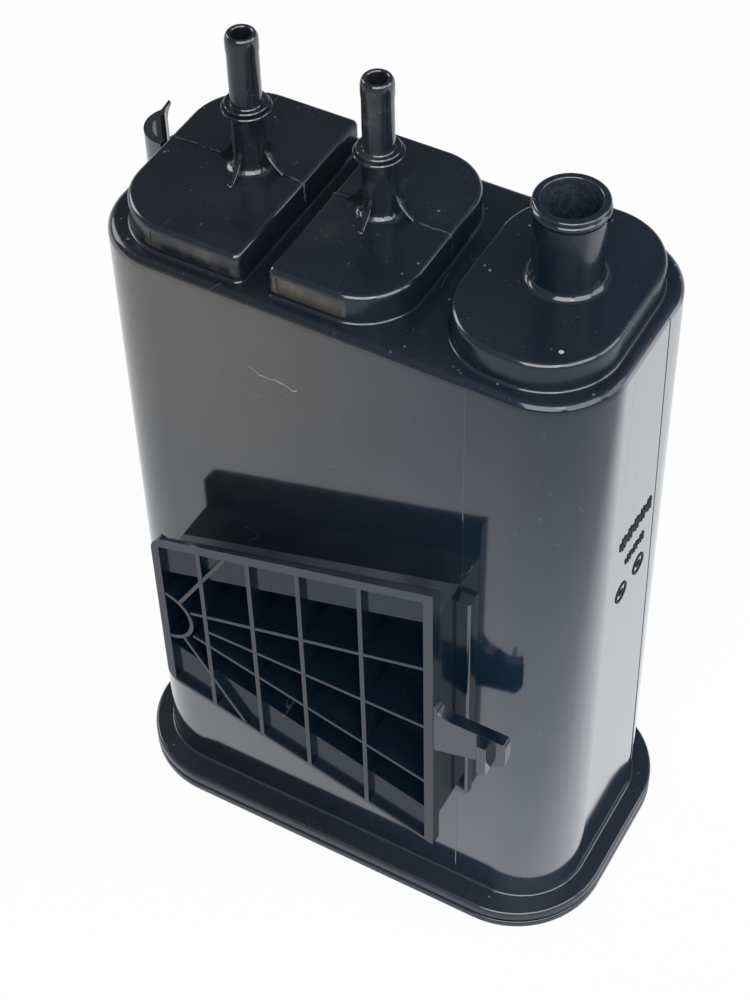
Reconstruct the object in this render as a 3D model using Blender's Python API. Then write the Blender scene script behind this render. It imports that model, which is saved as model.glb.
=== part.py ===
"""Charcoal canister of a fuel vapour system, modelled as its separate pieces.

The moulded housing stands on its welded bottom cover. Three ports rise from three raised
plenum covers on its roof, and a wedge shaped slide bracket with a snap arm stands off its
front wall. Inside are two carbon beds between filter pads, held up by perforated plates on
coil springs. X runs along the long side, the bracket faces -Y and Z is up. The origin is the
centre of the flat underside.
"""

import math

import bmesh
import bpy

MM = 0.001
CLEAR = 0.3 * MM          # gap between two pieces that touch
SINK = 1.0 * MM           # how far a joined feature reaches into what carries it
EPS = 0.15 * MM           # small step that keeps two faces from sharing a plane

# Body shell; its length along X follows from the three plenum covers below
BODY_DEPTH = 68.0 * MM    # along Y, at the shoulder under the rounded top edge
FOOT_NARROWER = 0.8 * MM  # what the wall loses in length down to its foot
FOOT_DEEPER = 4.0 * MM    # what it gains in depth down to its foot
BODY_RADIUS = 20.4 * MM   # corner radius in plan
WALL_HEIGHT = 202.5 * MM  # from the flange to the shoulder
EDGE_RADIUS = 2.6 * MM    # round between wall and roof
WALL = 2.5 * MM
ROOF = 2.6 * MM

# Weld flange and bottom cover
FLANGE_REACH = 5.8 * MM   # beyond the foot of the wall, along X
FLANGE_REACH_FRONT = 7.5 * MM
FLANGE_THICK = 3.4 * MM
FLANGE_CHAMFER = 0.6 * MM
FOOT_FILLET = 0.8 * MM
COVER_EDGE = 3.3 * MM     # height of the cover's rim, the weld groove included
WELD_GROOVE = 0.8 * MM    # height of the groove below the flange
WELD_INSET = 0.9 * MM     # depth of that groove
COVER_LIP = 4.0 * MM      # locating rib of the cover inside the housing
COVER_RIB = 1.8 * MM
UNDERCUT = 1.4 * MM       # depth of the pockets in the underside

# Raised plenum covers on the roof
BOSS_HEIGHT = 8.6 * MM
BOSS_DEPTH = 59.4 * MM    # along Y
BOSS_END_LEFT = 5.8 * MM  # from the end of the body to the first cover
BOSS_END_RIGHT = 3.9 * MM
BOSS_GAP_LEFT = 8.0 * MM  # groove between the first two covers
BOSS_GAP_RIGHT = 8.7 * MM
TANK_LENGTH = 39.5 * MM
PURGE_LENGTH = 33.3 * MM
AIR_LENGTH = 42.2 * MM
BOSS_SHARP = 1.8 * MM     # radius of the tight corners
TANK_RADIUS = 17.0 * MM
PURGE_RADIUS = 15.5 * MM
AIR_RADIUS = 19.0 * MM
BOSS_ROUND = 1.3 * MM     # round of the upper edge
BOSS_FILLET = 0.9 * MM    # fillet at the foot

# Label panels, plain, in the front walls of the first two covers
PANEL_SINK = 0.5 * MM
PANEL_MARGIN = 1.9 * MM
TANK_PANEL = (14.0 * MM, 2.6 * MM)    # left and right distance from the cover's ends
PURGE_PANEL = (2.4 * MM, 13.0 * MM)

# Hose ports
PORT_Y = 1.8 * MM
TANK_PORT_SHIFT = 4.4 * MM    # from the middle of its cover, along X
PURGE_PORT_SHIFT = -3.1 * MM
AIR_PORT_SHIFT = 1.0 * MM
HOSE_PORT_HEIGHT = 39.8 * MM  # above the plenum cover
HOSE_STEM = 4.0 * MM          # radii
HOSE_BEAD = 4.15 * MM
HOSE_BORE = 2.45 * MM
HOSE_NECK = 4.3 * MM
HOSE_FOOT = 5.7 * MM
COLLAR_HEIGHT = 19.6 * MM     # top of the double collar above the cover
COLLAR_SMALL = 5.6 * MM
COLLAR_LARGE = 6.35 * MM
COLLAR_DISC = 0.8 * MM
COLLAR_GAP = 0.35 * MM
AIR_PORT_HEIGHT = 23.8 * MM
AIR_STEM = 8.7 * MM
AIR_BEAD = 9.5 * MM
AIR_BORE = 7.25 * MM
AIR_FOOT = 10.2 * MM
GUSSET_HEIGHT = 8.9 * MM
GUSSET_REACH = 9.7 * MM
GUSSET_THICK = 1.2 * MM
GUSSET_WAIST = 0.4            # the gusset's edge bends in at this part of its height

# Inner walls
PARTITION = 2.0 * MM
DIVIDER_DROP = 25.0 * MM      # how far the wall between tank and purge side reaches down
BOTTOM_SPACE = 15.0 * MM      # free height under the partition

# Slide bracket on the front wall, sizes in its own plane
BRACKET_DROP = 113.8 * MM     # its middle below the shoulder
BRACKET_LENGTH = 86.5 * MM
BRACKET_SHIFT = -5.05 * MM    # its middle from the body's middle, along X
BRACKET_STAND = 15.6 * MM     # its face in front of the shoulder of the front wall
PLATE_DEPTH = 6.0 * MM
PLATE_HALF_LEFT = 30.7 * MM   # half its height at the left and right end
PLATE_HALF_RIGHT = 55.6 * MM
PLATE_CORNER = 4.0 * MM
NECK_HALF_LEFT = 17.4 * MM
NECK_HALF_RIGHT = 44.4 * MM
NECK_WALL = 2.0 * MM
WEB = 1.8 * MM
RIM_TOP = 2.8 * MM
RIM_BOTTOM = 1.2 * MM
RIM_LEFT = 1.9 * MM
RIM_RIGHT = 2.8 * MM
RIB = 1.35 * MM
RIB_PLACES = (0.177, 0.358, 0.537, 0.752)   # along the bracket, as parts of its length
RAIL = 1.2 * MM
BRACE_DEPTH = 4.6 * MM        # the two braces cross the web, so they stay in the plate
RAIL_MIDDLE = -0.9 * MM
RAIL_START = 10.3 * MM        # from the left end
RAIL_SPREAD_LEFT = 5.0 * MM   # distance of the outer rails from the middle one
RAIL_SPREAD_RIGHT = 25.6 * MM
HALF_RING = 9.4 * MM          # middle radius of the half ring at the left end
BRACE_ANGLE = 46.0            # where the braces leave the half ring, in degrees
BRACE_REACH = 0.78            # how far the braces lean, as a part of the way to the second rib
STRIP_WIDTH = 2.9 * MM        # raised strip beside the neck
STRIP_PROUD = 0.7 * MM

# Snap arm
ARM_LENGTH = 23.2 * MM
ARM_THICK = 3.6 * MM
ARM_TOP = 6.1 * MM
ARM_ROOT_BOTTOM = -9.8 * MM
ARM_TIP_BOTTOM = -1.9 * MM
ARM_FILLET = 5.0 * MM
HOOK_PLACE = 15.3 * MM        # from the bracket's right end
HOOK_THICK = 1.6 * MM
HOOK_REACH = 4.5 * MM

# Hose clip on the left end
CLIP_Y = 11.4 * MM
CLIP_BORE = 5.7 * MM          # radius of its bend
CLIP_BAND = 2.2 * MM
CLIP_LIP_THICK = 1.1 * MM
CLIP_ABOVE = 5.2 * MM         # its top above the shoulder
CLIP_LENGTH = 18.0 * MM
CLIP_LIP = 3.9 * MM           # how far the lip reaches past the bend
CLIP_HORN = 7.5 * MM          # height of the lip's free end

# Filling
PAD_TOP = 6.0 * MM
PAD_BOTTOM = 5.0 * MM
PLATE_THICK = 3.0 * MM
HOLE_RADIUS = 2.3 * MM
HOLE_PITCH = 9.0 * MM
SPRING_RADIUS = 8.0 * MM
SPRING_WIRE = 0.8 * MM
SPRING_TURNS = 4.5
SEAT_HEIGHT = 2.6 * MM
SPRING_HEIGHT = 17.0 * MM

CORNER_STEPS = 8
HOSE_SIDES = 20
AIR_SIDES = 32

# Plan sizes worked out from the sizes above
BODY_LENGTH = (BOSS_END_LEFT + TANK_LENGTH + BOSS_GAP_LEFT + PURGE_LENGTH + BOSS_GAP_RIGHT
               + AIR_LENGTH + BOSS_END_RIGHT)
FOOT_LENGTH = BODY_LENGTH - FOOT_NARROWER
FOOT_DEPTH = BODY_DEPTH + FOOT_DEEPER
FLANGE_LENGTH = FOOT_LENGTH + 2 * FLANGE_REACH
FLANGE_DEPTH = FOOT_DEPTH + 2 * FLANGE_REACH_FRONT
FLANGE_RADIUS = BODY_RADIUS + FLANGE_REACH_FRONT
BRACKET_LEFT = BRACKET_SHIFT - BRACKET_LENGTH / 2
BRACKET_RIGHT = BRACKET_SHIFT + BRACKET_LENGTH / 2

# Heights worked out from the sizes above
Z_FLANGE_LOW = COVER_EDGE + CLEAR
Z_FLANGE = Z_FLANGE_LOW + FLANGE_THICK
Z_SHOULDER = Z_FLANGE + WALL_HEIGHT
Z_ROOF = Z_SHOULDER + EDGE_RADIUS
Z_CEILING = Z_ROOF - ROOF
Z_BOSS = Z_ROOF + BOSS_HEIGHT
Z_BRACKET = Z_SHOULDER - BRACKET_DROP

# Places along X
TANK_LOW = -BODY_LENGTH / 2 + BOSS_END_LEFT
TANK_HIGH = TANK_LOW + TANK_LENGTH
PURGE_LOW = TANK_HIGH + BOSS_GAP_LEFT
PURGE_HIGH = PURGE_LOW + PURGE_LENGTH
AIR_LOW = PURGE_HIGH + BOSS_GAP_RIGHT
AIR_HIGH = AIR_LOW + AIR_LENGTH
DIVIDER_X = (TANK_HIGH + PURGE_LOW) / 2
PARTITION_X = (PURGE_HIGH + AIR_LOW) / 2
TANK_PORT = ((TANK_LOW + TANK_HIGH) / 2 + TANK_PORT_SHIFT, PORT_Y)
PURGE_PORT = ((PURGE_LOW + PURGE_HIGH) / 2 + PURGE_PORT_SHIFT, PORT_Y)
AIR_PORT = ((AIR_LOW + AIR_HIGH) / 2 + AIR_PORT_SHIFT, PORT_Y)
Y_FACE = -BODY_DEPTH / 2 - BRACKET_STAND


def mix(low, high, share):
    """The value at a share of the way from low to high."""
    return low + (high - low) * share


def material(name, colour, roughness, metallic=0.0):
    """A Principled material with one colour."""
    made = bpy.data.materials.new(name)
    made.use_nodes = True
    shader = made.node_tree.nodes["Principled BSDF"]
    shader.inputs["Base Color"].default_value = (*colour, 1.0)
    shader.inputs["Roughness"].default_value = roughness
    shader.inputs["Metallic"].default_value = metallic
    made.diffuse_color = (*colour, 1.0)
    return made


def add_object(name, bm, finish=None, parent=None):
    """Turn a bmesh into a named object; without a finish it is a helper that stays hidden."""
    bmesh.ops.recalc_face_normals(bm, faces=bm.faces)
    mesh = bpy.data.meshes.new(name)
    bm.to_mesh(mesh)
    bm.free()
    obj = bpy.data.objects.new(name, mesh)
    bpy.context.scene.collection.objects.link(obj)
    obj.parent = parent
    if finish is None:
        obj.hide_render = True
        obj.display_type = "WIRE"
    else:
        mesh.materials.append(finish)
    return obj


def combine(target, other, operation):
    """Join another solid to the target, or cut it away, with a live Boolean."""
    modifier = target.modifiers.new(other.name, "BOOLEAN")
    modifier.operation = operation
    modifier.solver = "EXACT"
    modifier.object = other


def outline(x_low, x_high, half_depth, radius_low, radius_high, steps=CORNER_STEPS):
    """A rounded rectangle, counter-clockwise, with a radius for each end within its own size."""
    most = min(x_high - x_low, 2 * half_depth) / 2 - EPS
    radius_low = min(radius_low, most)
    radius_high = min(radius_high, most)
    corners = (
        (x_high - radius_high, -half_depth + radius_high, -90, radius_high),
        (x_high - radius_high, half_depth - radius_high, 0, radius_high),
        (x_low + radius_low, half_depth - radius_low, 90, radius_low),
        (x_low + radius_low, -half_depth + radius_low, 180, radius_low),
    )
    points = []
    for x, y, start, radius in corners:
        for step in range(steps + 1):
            angle = math.radians(start + 90 * step / steps)
            points.append((x + radius * math.cos(angle), y + radius * math.sin(angle)))
    return points


def wall_outline(z, inset):
    """The body's plan at a height, moved in by an inset; the wall leans by its mould draft."""
    share = (z - Z_FLANGE) / WALL_HEIGHT
    half_length = mix(FOOT_LENGTH, BODY_LENGTH, share) / 2 - inset
    half_depth = mix(FOOT_DEPTH, BODY_DEPTH, share) / 2 - inset
    radius = BODY_RADIUS - inset
    return outline(-half_length, half_length, half_depth, radius, radius)


def flange_outline(inset):
    """The weld flange's plan, moved in by an inset."""
    radius = FLANGE_RADIUS - inset
    half_length = FLANGE_LENGTH / 2 - inset
    return outline(-half_length, half_length, FLANGE_DEPTH / 2 - inset, radius, radius)


def chamber_outline(z, x_low, x_high, inset):
    """The plan of a piece inside one chamber, x_low or x_high being None at the body's end."""
    share = (z - Z_FLANGE) / WALL_HEIGHT
    end = mix(FOOT_LENGTH, BODY_LENGTH, share) / 2 - WALL - inset
    half_depth = mix(FOOT_DEPTH, BODY_DEPTH, share) / 2 - WALL - inset
    round_corner = BODY_RADIUS - WALL - inset
    square_corner = BOSS_SHARP
    low = -end if x_low is None else x_low + inset
    high = end if x_high is None else x_high - inset
    radius_low = round_corner if x_low is None else square_corner
    radius_high = round_corner if x_high is None else square_corner
    return outline(low, high, half_depth, radius_low, radius_high)


def loft_into(bm, rings):
    """Skin a stack of (plan, height) rings with equal point counts and cap both ends."""
    loops = []
    for plan, z in rings:
        loops.append([bm.verts.new((x, y, z)) for x, y in plan])
    count = len(loops[0])
    for lower, upper in zip(loops, loops[1:]):
        for i in range(count):
            j = (i + 1) % count
            bm.faces.new((lower[i], lower[j], upper[j], upper[i]))
    bm.faces.new(list(reversed(loops[0])))
    bm.faces.new(loops[-1])


def revolve_into(bm, profile, centre, sides, turn=0.0):
    """Turn a (radius, height) profile about a vertical axis, where it starts and ends.

    The facets start at a turn given as a share of one facet.
    """
    rings = []
    for radius, z in profile[1:-1]:
        ring = []
        for side in range(sides):
            angle = 2 * math.pi * (side + turn) / sides
            ring.append(bm.verts.new((
                centre[0] + radius * math.cos(angle), centre[1] + radius * math.sin(angle), z)))
        rings.append(ring)
    first = bm.verts.new((centre[0], centre[1], profile[0][1]))
    last = bm.verts.new((centre[0], centre[1], profile[-1][1]))
    for i in range(sides):
        j = (i + 1) % sides
        bm.faces.new((first, rings[0][j], rings[0][i]))
        bm.faces.new((last, rings[-1][i], rings[-1][j]))
        for lower, upper in zip(rings, rings[1:]):
            bm.faces.new((lower[i], lower[j], upper[j], upper[i]))


def prism_into(bm, points, axis, low, high):
    """Extrude a polygon along X, Y or Z; its points are the two other coordinates in order."""
    def place(point, depth):
        coordinates = list(point)
        coordinates.insert("XYZ".index(axis), depth)
        return bm.verts.new(coordinates)

    near = [place(point, low) for point in points]
    far = [place(point, high) for point in points]
    for i in range(len(points)):
        j = (i + 1) % len(points)
        bm.faces.new((near[i], near[j], far[j], far[i]))
    bm.faces.new(list(reversed(near)))
    bm.faces.new(far)


def band_points(centre, radius, width, start, stop, steps):
    """A closed polygon that follows an arc with a given width, angles in degrees."""
    outer = []
    inner = []
    for step in range(steps + 1):
        angle = math.radians(mix(start, stop, step / steps))
        direction = (math.cos(angle), math.sin(angle))
        outer.append([c + (radius + width / 2) * d for c, d in zip(centre, direction)])
        inner.append([c + (radius - width / 2) * d for c, d in zip(centre, direction)])
    return outer + inner[::-1]


def bar_points(start, end, width):
    """A thin four sided bar between two points."""
    dx = end[0] - start[0]
    dz = end[1] - start[1]
    length = math.hypot(dx, dz)
    nx = -dz / length * width / 2
    nz = dx / length * width / 2
    return [
        (start[0] - nx, start[1] - nz), (end[0] - nx, end[1] - nz),
        (end[0] + nx, end[1] + nz), (start[0] + nx, start[1] + nz),
    ]


def quarter(radius, z_low, steps, inset_of):
    """Rings of a convex quarter round: pairs of plan and height from the wall inwards."""
    rings = []
    for step in range(steps + 1):
        angle = math.radians(90 * step / steps)
        rings.append((inset_of(radius * (1 - math.cos(angle))), z_low + radius * math.sin(angle)))
    return rings


def body_shell(finish):
    """The outer form of the housing: flange, drafted wall and rounded roof edge."""
    bm = bmesh.new()
    rings = [
        (flange_outline(0), Z_FLANGE_LOW),
        (flange_outline(0), Z_FLANGE - FLANGE_CHAMFER),
        (flange_outline(FLANGE_CHAMFER), Z_FLANGE),
        (wall_outline(Z_FLANGE, -FOOT_FILLET), Z_FLANGE),
        (wall_outline(Z_FLANGE + FOOT_FILLET, 0), Z_FLANGE + FOOT_FILLET),
    ]
    rings += quarter(EDGE_RADIUS, Z_SHOULDER, 4, lambda inset: wall_outline(Z_SHOULDER, inset))
    loft_into(bm, rings)
    return add_object("housing", bm, finish)


def boss_outline(x_low, x_high, radius_low, radius_high, inset):
    """The plan of a plenum cover, moved in by an inset."""
    return outline(
        x_low + inset, x_high - inset, BOSS_DEPTH / 2 - inset,
        max(radius_low - inset, BOSS_SHARP / 2), max(radius_high - inset, BOSS_SHARP / 2), 6)


def boss(name, x_low, x_high, radius_low, radius_high, parent):
    """One raised plenum cover with its rounded top edge and its fillet on the roof."""
    def plan(inset):
        return boss_outline(x_low, x_high, radius_low, radius_high, inset)

    bm = bmesh.new()
    rings = [
        (plan(-BOSS_FILLET - EPS), Z_ROOF - SINK),
        (plan(-BOSS_FILLET - EPS), Z_ROOF - EPS),
        (plan(0), Z_ROOF + BOSS_FILLET),
    ]
    rings += quarter(BOSS_ROUND, Z_BOSS - BOSS_ROUND, 3, plan)
    loft_into(bm, rings)
    return add_object(name, bm, parent=parent)


def plenum(name, x_low, x_high, radius_low, radius_high, parent):
    """The hollow under one plenum cover, open to the chamber below."""
    bm = bmesh.new()
    plan = boss_outline(x_low, x_high, radius_low, radius_high, WALL)
    loft_into(bm, [(plan, Z_CEILING - SINK), (plan, Z_BOSS - ROOF)])
    return add_object(name, bm, parent=parent)


def hose_port(name, centre, parent):
    """A hose port: foot fillet, neck, double collar, stem and rounded mouth."""
    tip = Z_BOSS + HOSE_PORT_HEIGHT
    collar = Z_BOSS + COLLAR_HEIGHT
    low_disc = collar - 2 * COLLAR_DISC - COLLAR_GAP
    lip = (HOSE_BEAD + HOSE_BORE) / 2
    lip_width = HOSE_BEAD - HOSE_BORE
    fillet = HOSE_FOOT - HOSE_NECK
    profile = [
        (0, Z_BOSS - SINK),
        (HOSE_FOOT + EPS, Z_BOSS - SINK),
        (HOSE_FOOT + EPS, Z_BOSS - EPS),
        (HOSE_NECK + fillet * 0.35, Z_BOSS + fillet * 0.35),
        (HOSE_NECK, Z_BOSS + fillet),
        (HOSE_NECK, low_disc),
        (COLLAR_LARGE, low_disc),
        (COLLAR_LARGE, low_disc + COLLAR_DISC),
        (HOSE_NECK + COLLAR_GAP, low_disc + COLLAR_DISC),
        (HOSE_NECK + COLLAR_GAP, collar - COLLAR_DISC),
        (COLLAR_SMALL, collar - COLLAR_DISC),
        (COLLAR_SMALL, collar),
        (HOSE_STEM, collar),
        (HOSE_STEM, tip - 4.0 * HOSE_BEAD / 3),
        (HOSE_BEAD, tip - HOSE_BEAD),
        (HOSE_BEAD, tip - HOSE_BEAD / 2),
        (HOSE_BEAD - 0.12 * lip_width, tip - HOSE_BEAD / 4),
        (lip + 0.22 * lip_width, tip - HOSE_BEAD / 20),
        (lip, tip),
        (lip - 0.3 * lip_width, tip - HOSE_BEAD / 14),
        (HOSE_BORE, tip - HOSE_BEAD / 5),
        (HOSE_BORE, tip - 2 * HOSE_BEAD),
        (0, tip - 2 * HOSE_BEAD),
    ]
    bm = bmesh.new()
    revolve_into(bm, profile, centre, HOSE_SIDES)
    return add_object(name, bm, parent=parent)


def air_port(name, centre, parent):
    """The wide fresh air port: foot fillet, plain stem, rolled bead and mouth."""
    tip = Z_BOSS + AIR_PORT_HEIGHT
    fillet = AIR_FOOT - AIR_STEM
    bead = AIR_BEAD - AIR_STEM
    profile = [
        (0, Z_BOSS - SINK),
        (AIR_FOOT + EPS, Z_BOSS - SINK),
        (AIR_FOOT + EPS, Z_BOSS - EPS),
        (AIR_STEM + fillet * 0.35, Z_BOSS + fillet * 0.35),
        (AIR_STEM, Z_BOSS + fillet),
        (AIR_STEM, tip - 4.4 * bead),
        (AIR_BEAD, tip - 3.2 * bead),
        (AIR_BEAD, tip - 1.9 * bead),
        (AIR_BEAD - bead * 0.35, tip - 0.9 * bead),
        (AIR_STEM - bead * 0.3, tip - bead * 0.15),
        (AIR_STEM - bead * 0.8, tip),
        (AIR_BORE + bead * 0.3, tip),
        (AIR_BORE, tip - bead * 0.4),
        (AIR_BORE, tip - AIR_BEAD),
        (0, tip - AIR_BEAD),
    ]
    bm = bmesh.new()
    revolve_into(bm, profile, centre, AIR_SIDES)
    return add_object(name, bm, parent=parent)


def port_bore(name, centre, radius, height, sides, parent):
    """The passage through a port, which meets the blind mouth that the port is made with."""
    bm = bmesh.new()
    low = Z_BOSS - ROOF - SINK
    high = Z_BOSS + height - radius - SINK
    profile = [(0, low), (radius - EPS, low), (radius - EPS, high), (0, high)]
    revolve_into(bm, profile, centre, sides, turn=0.5)
    return add_object(name, bm, parent=parent)


def gussets(name, centre, parent):
    """Four thin gussets round a hose port's neck, two along X joined and two along Y."""
    waist = mix(HOSE_NECK, GUSSET_REACH, GUSSET_WAIST)
    side = [
        (0, Z_BOSS - SINK), (GUSSET_REACH, Z_BOSS - SINK), (GUSSET_REACH, Z_BOSS + EPS),
        (waist, Z_BOSS + GUSSET_HEIGHT * GUSSET_WAIST), (HOSE_NECK, Z_BOSS + GUSSET_HEIGHT),
        (0, Z_BOSS + GUSSET_HEIGHT),
    ]
    mirrored = [(-a, z) for a, z in reversed(side[1:-1])]
    whole = side[1:-1] + mirrored
    bm = bmesh.new()
    half = GUSSET_THICK / 2
    along_x = [(centre[0] + a, z) for a, z in whole]
    prism_into(bm, along_x, "Y", centre[1] - half, centre[1] + half)
    first = add_object(name + "_x", bm, parent=parent)
    bm = bmesh.new()
    along_y = [(centre[1] + a, z) for a, z in whole]
    prism_into(bm, along_y, "X", centre[0] - half - EPS, centre[0] + half + EPS)
    second = add_object(name + "_y", bm, parent=parent)
    return first, second


def label_panels(parent):
    """Two shallow plain panels in the front walls of the first two plenum covers."""
    bm = bmesh.new()
    low = Z_ROOF + PANEL_MARGIN
    high = Z_BOSS - PANEL_MARGIN
    spans = (
        (TANK_LOW + TANK_PANEL[0], TANK_HIGH - TANK_PANEL[1]),
        (PURGE_LOW + PURGE_PANEL[0], PURGE_HIGH - PURGE_PANEL[1]),
    )
    for x_low, x_high in spans:
        frame = [(x_low, low), (x_high, low), (x_high, high), (x_low, high)]
        front = -BOSS_DEPTH / 2
        prism_into(bm, frame, "Y", front - SINK, front + PANEL_SINK)
    return add_object("label_panels", bm, parent=parent)


def plate_half(x):
    """Half the height of the bracket's plate at a place along it."""
    share = (x - BRACKET_LEFT) / BRACKET_LENGTH
    return mix(PLATE_HALF_LEFT, PLATE_HALF_RIGHT, share)


def neck_half(x):
    """Half the height of the bracket's neck at a place along it."""
    share = (x - BRACKET_LEFT) / BRACKET_LENGTH
    return mix(NECK_HALF_LEFT, NECK_HALF_RIGHT, share)


def bracket_solid(name, parent):
    """The wedge shaped plate in front, before its pockets are cut."""
    steps = 4
    points = [(BRACKET_RIGHT, Z_BRACKET - PLATE_HALF_RIGHT), (BRACKET_RIGHT, Z_BRACKET + PLATE_HALF_RIGHT)]
    bend = BRACKET_LEFT + PLATE_CORNER
    for side in (1, -1):
        corner = []
        for step in range(steps + 1):
            angle = math.radians(90 * step / steps)
            drop = PLATE_CORNER * (1 - math.cos(angle))
            corner.append((bend - PLATE_CORNER * math.sin(angle), Z_BRACKET + side * (plate_half(bend) - drop)))
        points += corner[::side]
    bm = bmesh.new()
    prism_into(bm, points, "Y", Y_FACE, Y_FACE + PLATE_DEPTH)
    return add_object(name, bm, parent=parent)


def bracket_neck(name, parent):
    """The neck that carries the plate; the slide channel runs above and below it."""
    left = BRACKET_LEFT + EPS
    right = BRACKET_RIGHT - EPS
    points = [
        (left, Z_BRACKET - neck_half(left)), (right, Z_BRACKET - neck_half(right)),
        (right, Z_BRACKET + neck_half(right)), (left, Z_BRACKET + neck_half(left)),
    ]
    bm = bmesh.new()
    prism_into(bm, points, "Y", Y_FACE + PLATE_DEPTH - SINK, -BODY_DEPTH / 2 + WALL + SINK)
    return add_object(name, bm, parent=parent)


def bracket_columns():
    """The open spans between the bracket's upright ribs."""
    edges = [BRACKET_LEFT + RIM_LEFT]
    for place in RIB_PLACES:
        rib = BRACKET_LEFT + place * BRACKET_LENGTH
        edges += [rib - RIB / 2, rib + RIB / 2]
    edges.append(BRACKET_RIGHT - RIM_RIGHT)
    return list(zip(edges[::2], edges[1::2]))


def bracket_pockets(name, parent, deep):
    """The pockets between the ribs: shallow ones over the web, or deep ones in the neck."""
    bm = bmesh.new()
    for low, high in bracket_columns():
        if deep:
            top = (neck_half(low) - NECK_WALL, neck_half(high) - NECK_WALL)
            bottom = top
            floor = -FOOT_DEPTH / 2 - STRIP_PROUD
        else:
            top = (plate_half(low) - RIM_TOP, plate_half(high) - RIM_TOP)
            bottom = (plate_half(low) - RIM_BOTTOM, plate_half(high) - RIM_BOTTOM)
            floor = Y_FACE + PLATE_DEPTH - WEB
        points = [
            (low, Z_BRACKET - bottom[0]), (high, Z_BRACKET - bottom[1]),
            (high, Z_BRACKET + top[1]), (low, Z_BRACKET + top[0]),
        ]
        prism_into(bm, points, "Y", Y_FACE - SINK, floor)
    return add_object(name, bm, parent=parent)


def bracket_rails(parent):
    """The fan of thin rails between the ribs, each a bar that runs from left to right."""
    start = BRACKET_LEFT + RAIL_START
    end = BRACKET_RIGHT - RIM_RIGHT / 2
    middle = Z_BRACKET + RAIL_MIDDLE
    first_rib = BRACKET_LEFT + RIB_PLACES[0] * BRACKET_LENGTH
    second_rib = BRACKET_LEFT + RIB_PLACES[1] * BRACKET_LENGTH
    ring_edge = BRACKET_LEFT + HALF_RING * math.cos(math.radians(BRACE_ANGLE))
    ring_side = HALF_RING * math.sin(math.radians(BRACE_ANGLE))
    reach = second_rib - ring_edge
    floor = -FOOT_DEPTH / 2 - STRIP_PROUD + CLEAR
    brace_floor = Y_FACE + BRACE_DEPTH
    bars = [
        ("rail_middle", (first_rib, middle), (end, middle), floor),
        ("rail_upper", (start, middle + RAIL_SPREAD_LEFT), (end, middle + RAIL_SPREAD_RIGHT), floor),
        ("rail_lower", (start, middle - RAIL_SPREAD_LEFT), (end, middle - RAIL_SPREAD_RIGHT), floor),
    ]
    for name, side in (("brace_upper", 1), ("brace_lower", -1)):
        foot = (ring_edge, middle + side * ring_side)
        x_top = ring_edge + reach * BRACE_REACH
        top = (x_top, Z_BRACKET + side * (plate_half(x_top) - RIM_BOTTOM / 2))
        bars.append((name, foot, top, brace_floor))
    made = []
    for index, (name, first, second, back) in enumerate(bars):
        bm = bmesh.new()
        lift = EPS * (1 + index / 2)
        prism_into(bm, bar_points(first, second, RAIL), "Y", Y_FACE + lift, back - lift)
        made.append(add_object(name, bm, parent=parent))
    bm = bmesh.new()
    ring = band_points((BRACKET_LEFT + RIM_LEFT / 3, middle), HALF_RING, RAIL, -88, 88, 12)
    prism_into(bm, ring, "Y", Y_FACE + 4 * EPS, floor - 4 * EPS)
    made.append(add_object("half_ring", bm, parent=parent))
    return made


def neck_strip(name, parent):
    """The raised strip on the front wall beside the neck's right side."""
    front = -FOOT_DEPTH / 2 - STRIP_PROUD
    inside = -BODY_DEPTH / 2 + WALL
    right = BRACKET_RIGHT
    points = [
        (right - SINK, inside), (right - SINK, front - STRIP_PROUD), (right + EPS, front - STRIP_PROUD),
        (right + STRIP_WIDTH - STRIP_PROUD, front), (right + STRIP_WIDTH, front + STRIP_PROUD),
        (right + STRIP_WIDTH, inside),
    ]
    half = NECK_HALF_RIGHT - SINK
    bm = bmesh.new()
    prism_into(bm, points, "Z", Z_BRACKET - half, Z_BRACKET + half)
    return add_object(name, bm, parent=parent)


def snap_arm(name, parent):
    """The spring arm at the bracket's wide end, with a large fillet at its root."""
    root = BRACKET_RIGHT
    tip = root + ARM_LENGTH
    soft = ARM_FILLET / 5
    points = [(root - SINK, ARM_TOP + ARM_FILLET)]
    for step in range(5):
        angle = math.radians(180 + 90 * step / 4)
        points.append((
            root + ARM_FILLET + ARM_FILLET * math.cos(angle),
            ARM_TOP + ARM_FILLET + ARM_FILLET * math.sin(angle)))
    points += [
        (tip - soft, ARM_TOP), (tip, ARM_TOP - soft),
        (tip, ARM_TIP_BOTTOM + soft), (tip - soft, ARM_TIP_BOTTOM),
        (mix(root, tip, 0.54), mix(ARM_ROOT_BOTTOM, ARM_TIP_BOTTOM, 0.68)),
        (root + soft, ARM_ROOT_BOTTOM + soft / 2), (root - SINK, ARM_ROOT_BOTTOM - soft),
    ]
    points = [(x, Z_BRACKET + z) for x, z in points]
    bm = bmesh.new()
    prism_into(bm, points, "Y", Y_FACE + EPS, Y_FACE + EPS + ARM_THICK)
    return add_object(name, bm, parent=parent)


def snap_hook(name, parent):
    """The catch that stands forward from the arm."""
    back = Y_FACE + 2 * EPS + SINK
    front = Y_FACE - HOOK_REACH
    low = Z_BRACKET + mix(ARM_ROOT_BOTTOM, ARM_TIP_BOTTOM, HOOK_PLACE / ARM_LENGTH) + EPS
    high = Z_BRACKET + ARM_TOP - 2 * EPS
    slope = HOOK_REACH * 0.8
    points = [(back, low), (front, low), (front, high - slope), (back, high)]
    x = BRACKET_RIGHT + HOOK_PLACE
    bm = bmesh.new()
    prism_into(bm, points, "X", x, x + HOOK_THICK)
    return add_object(name, bm, parent=parent)


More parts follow.
